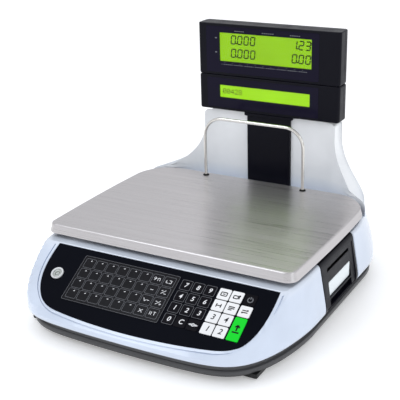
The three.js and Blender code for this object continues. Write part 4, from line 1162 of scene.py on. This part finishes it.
def make_bezel():
    """The cassette's face: a raised frame, the label slot, the card pocket and the ribbed finger pull."""
    x0, _, y0, y1, z0, z1 = span("cassette_bezel")
    rings = []
    for z, *_ in CASE_LEVELS:
        wall = skin_x(z, 0.1)
        edge = [(wall - 1.2 + travel, inset) for inset, travel in quarter(1.2, 4)]
        ring = [(x0, y0), *[(x, y0 + i) for x, i in edge], *[(x, y1 - i) for x, i in edge[::-1]], (x0, y1)]
        rings.append(at_height(ring, z))
    bezel = loft("bezel", rings)
    cut(bezel, block(x0 - 1, 186, y0 + 3.6, y1 - 3.6, z0 + 3, z1 - 3))
    field = []
    for offset, grow in ((-FACE_INSET, 0), (-0.25, 0), (0.1, 0.4), (6, 0.5)):
        outline = rounded_rectangle(y0 + 7 - grow, y1 - 7 + grow, z0 + 3 - grow, z1 - 8 + grow, 3, 5)
        field.append([(skin_x(z) + offset, y, z) for y, z in outline])
    cut(bezel, loft("field", field))
    middle, reach = (y0 + y1) / 2, 38
    for opening in ((77, 82, 30), (29.5, 39.4, 8.5, 1.2, 2), (41, 63.4, 6.3, 0.5, 0.8)):
        cut(bezel, side_cutter(middle - reach, middle + reach, *opening))
    ribs = [block(188.5, 193.5, middle + y - 0.7, middle + y + 0.7, 28.5, 40.4, 0.5, 3)
            for y in range(-35, 36, 5)]
    add(bezel, join_pieces("ribs", ribs))
    finish_piece(bezel, "cassette_face", "black_plastic", "cassette", "black_plastic", "cassette_bezel",
                 angle=32)
    make_slot_lip(middle)
    make_card(span("label_card"))


def make_slot_lip(middle):
    """The tear bar under the label slot: a polished strip along the slot's lower edge."""
    wall = skin_x(76.8, FACE_INSET)
    profile = [(wall - 10, 76.9), (wall - 0.6, 76.9), (wall - 0.2, 77.3), (wall - 0.6, 77.8),
               (wall - 10, 77.8)]
    strip = loft("tear_bar", [[(x, y, z) for x, z in profile] for y in (middle - 37.8, middle + 37.8)])
    finish_piece(strip, "tear_bar", "screw_steel", "cassette", "black_plastic")


def make_card(card):
    """A plain paper card in its pocket, with rounded corners."""
    outline = rounded_rectangle(card[2] + 0.4, card[3] - 0.4, card[4] + 0.3, card[5] - 0.3, 1.5, 5)
    sheet = loft("card", [[(x, y, z) for y, z in outline] for x in (card[0] + 0.2, card[1] - 0.2)])
    finish_piece(sheet, "paper_card", "label_paper", "cassette", "label_paper", "label_card", bevel=0.15,
                 angle=40)


def make_roll():
    """The label roll: many wound layers round a card core."""
    x0, x1, y0, y1, z0, z1 = span("label_roll")
    cx, cz, radius = (x0 + x1) / 2, (z0 + z1) / 2, (x1 - x0) / 2
    core = 12.6
    layers = 26
    profile = [(core, y0 + 0.4)]
    for i in range(1, layers + 1):
        r = core + 1.4 + (radius - core - 1.4) * i / layers
        profile += [(r - 0.3, y0 + 0.12), (r - 0.12, y0 + 0.45)]
    profile += [(radius, y0 + 0.6), (radius, y1 - 0.6)]
    for i in range(layers, 0, -1):
        r = core + 1.4 + (radius - core - 1.4) * i / layers
        profile += [(r - 0.12, y1 - 0.45), (r - 0.3, y1 - 0.12)]
    profile.append((core, y1 - 0.4))
    angles = 2 * np.pi * np.arange(72) / 72
    rings = [[(cx + r * math.cos(a), y, cz + r * math.sin(a)) for a in angles] for r, y in profile]
    finish_piece(loft("roll", rings, True), "label_web_roll", "label_paper", "label_roll", "label_paper",
                 "label_roll", angle=40)


# ---------------------------------------------------------------- fasteners and plain inner pieces
def screw(centre, direction, radius=3.4):
    """A cross-recessed pan head; direction is the way its face looks, along Y or Z."""
    profile = [(0.001, -1.2), (radius * 0.9, -1.2), (radius, 0), (radius * 0.96, 0.7), (radius * 0.75, 1.3),
               (radius * 0.4, 1.6), (0.001, 1.7)]
    head = lathe("screw", profile, steps=28)
    arm = radius * 0.55
    cut(head, block(-arm, arm, -0.4, 0.4, 0.6, 3), block(-0.4, 0.4, -arm, arm, 0.6, 3))
    turn = {"+Y": Matrix.Rotation(-math.pi / 2, 4, "X"), "-Z": Matrix.Rotation(math.pi, 4, "X")}[direction]
    return transform(head, Matrix.Translation(Vector(centre)) @ turn)


def fasten(name, paint, places, direction, radius=3.4):
    screws = join_pieces("screws", [screw(place, direction, radius) for place in places])
    finish_piece(screws, name, paint, "base", "zinc_steel", angle=35)


def make_screws():
    x0, x1, _, rear, z0, z1 = span("rear_cover")
    places = [(x, rear - 1.8, z) for x in (x0 + 8, 0, x1 - 8) for z in (z0 + 8, z1 - 8)]
    fasten("cover_screws", "zinc_steel", places, "+Y")
    places = []
    for node, shifts in (("lower_head_rear", (0,)), ("upper_head_rear", (-28, 28))):
        _, _, _, rear, z0, z1 = span(node)
        places += [(side * 96, rear - 0.2, (z0 + z1) / 2 + shift) for side in (-1, 1) for shift in shifts]
    fasten("head_screws", "screw_steel", places, "+Y", 3)
    places = [(x, y, 7.6) for x, y in ((-170, -60), (170, -80), (-165, 90), (165, 100), (0, -190), (0, 205))]
    fasten("tray_screws", "zinc_steel", places, "-Z")


def paint_inner_nodes():
    plain = {"rear_cover": ("white_case", 0.5), "power_inlet": ("black_plastic", 0.3),
             "keypad_board": ("circuit_board", 0.1), "main_board": ("circuit_board", 0.1),
             "load_cell": ("cast_aluminium", 0.5), "power_supply": ("zinc_steel", 0.6),
             "pole_bracket": ("zinc_steel", 0.3), "spider": ("cast_aluminium", 0.8),
             "cassette_chassis": ("zinc_steel", 0.2), "platen_roller": ("platen_rubber", 0.2),
             "take_up_spool": ("grey_plastic", 0.2), "print_head": ("cast_aluminium", 0.3)}
    for node, (paint, bevel) in plain.items():
        paint_node(node, paint, bevel)


# ---------------------------------------------------------------- camera, floor and light
def make_camera():
    azimuth, pitch, roll = (math.radians(angle) for angle in (30.09, 21.32, -1.67))
    back = Vector((math.sin(azimuth) * math.cos(pitch), -math.cos(azimuth) * math.cos(pitch),
                   math.sin(pitch)))
    level = Vector((math.cos(azimuth), math.sin(azimuth), 0))
    upright = back.cross(level)
    right = level * math.cos(roll) + upright * math.sin(roll)
    up = upright * math.cos(roll) - level * math.sin(roll)
    data = bpy.data.cameras.new("camera")
    data.sensor_width = 36
    data.lens = 82
    camera = bpy.data.objects.new("camera", data)
    camera.matrix_world = (Matrix.Translation(Vector((0.586, -1.028, 0.600)))
                           @ Matrix((right, up, back)).transposed().to_4x4())
    bpy.context.scene.collection.objects.link(camera)
    bpy.context.scene.camera = camera


def make_area_light(name, place, target, size, power, colour=(1, 1, 1)):
    data = bpy.data.lights.new(name, "AREA")
    data.shape = "RECTANGLE"
    data.size, data.size_y = size
    data.energy = power
    data.color = colour
    light = bpy.data.objects.new(name, data)
    light.location = place
    light.rotation_euler = (Vector(target) - Vector(place)).to_track_quat("-Z", "Y").to_euler()
    bpy.context.scene.collection.objects.link(light)


def make_stage():
    half_size = 6000
    corners = rectangle(-half_size, -half_size, 2 * half_size, 2 * half_size)
    floor = mesh_object("floor", at_height(corners, -0.2), [[0, 1, 2, 3]])
    paint = Paint("pale_floor", (0.9, 0.9, 0.9), 0.55)
    paint.vary_colour(paint.noise(3), (0.89, 0.89, 0.895), (0.91, 0.91, 0.91))
    paint.set("Emission Color", (1, 1, 1, 1)).set("Emission Strength", 0.3)
    floor.data.materials.append(paint.material)
    world = bpy.data.worlds.new("studio")
    world.use_nodes = True
    background = world.node_tree.nodes["Background"]
    background.inputs["Color"].default_value = (0.95, 0.965, 1.0, 1)
    background.inputs["Strength"].default_value = 0.86
    bpy.context.scene.world = world
    bpy.context.scene.view_settings.view_transform = "Standard"
    make_area_light("key_light", (-0.9, -1.0, 1.9), (0, 0, 0.1), (1.2, 1.2), 12, (0.9, 0.95, 1))
    make_area_light("side_light", (1.9, -0.3, 1.0), (0, 0, 0.1), (1.0, 1.2), 5, (0.88, 0.96, 1))
    make_area_light("back_light", (-0.6, 1.5, 2.3), (0, 0, 0.1), (1.4, 1.0), 4)


make_camera()
make_stage()
make_upper_case()
make_tray()
make_feet()
make_platter()
make_guard_wire()
make_heads()
make_pole()
make_displays()
make_overlay()
make_keys()
make_vial()
make_bezel()
make_roll()
make_screws()
paint_inner_nodes()
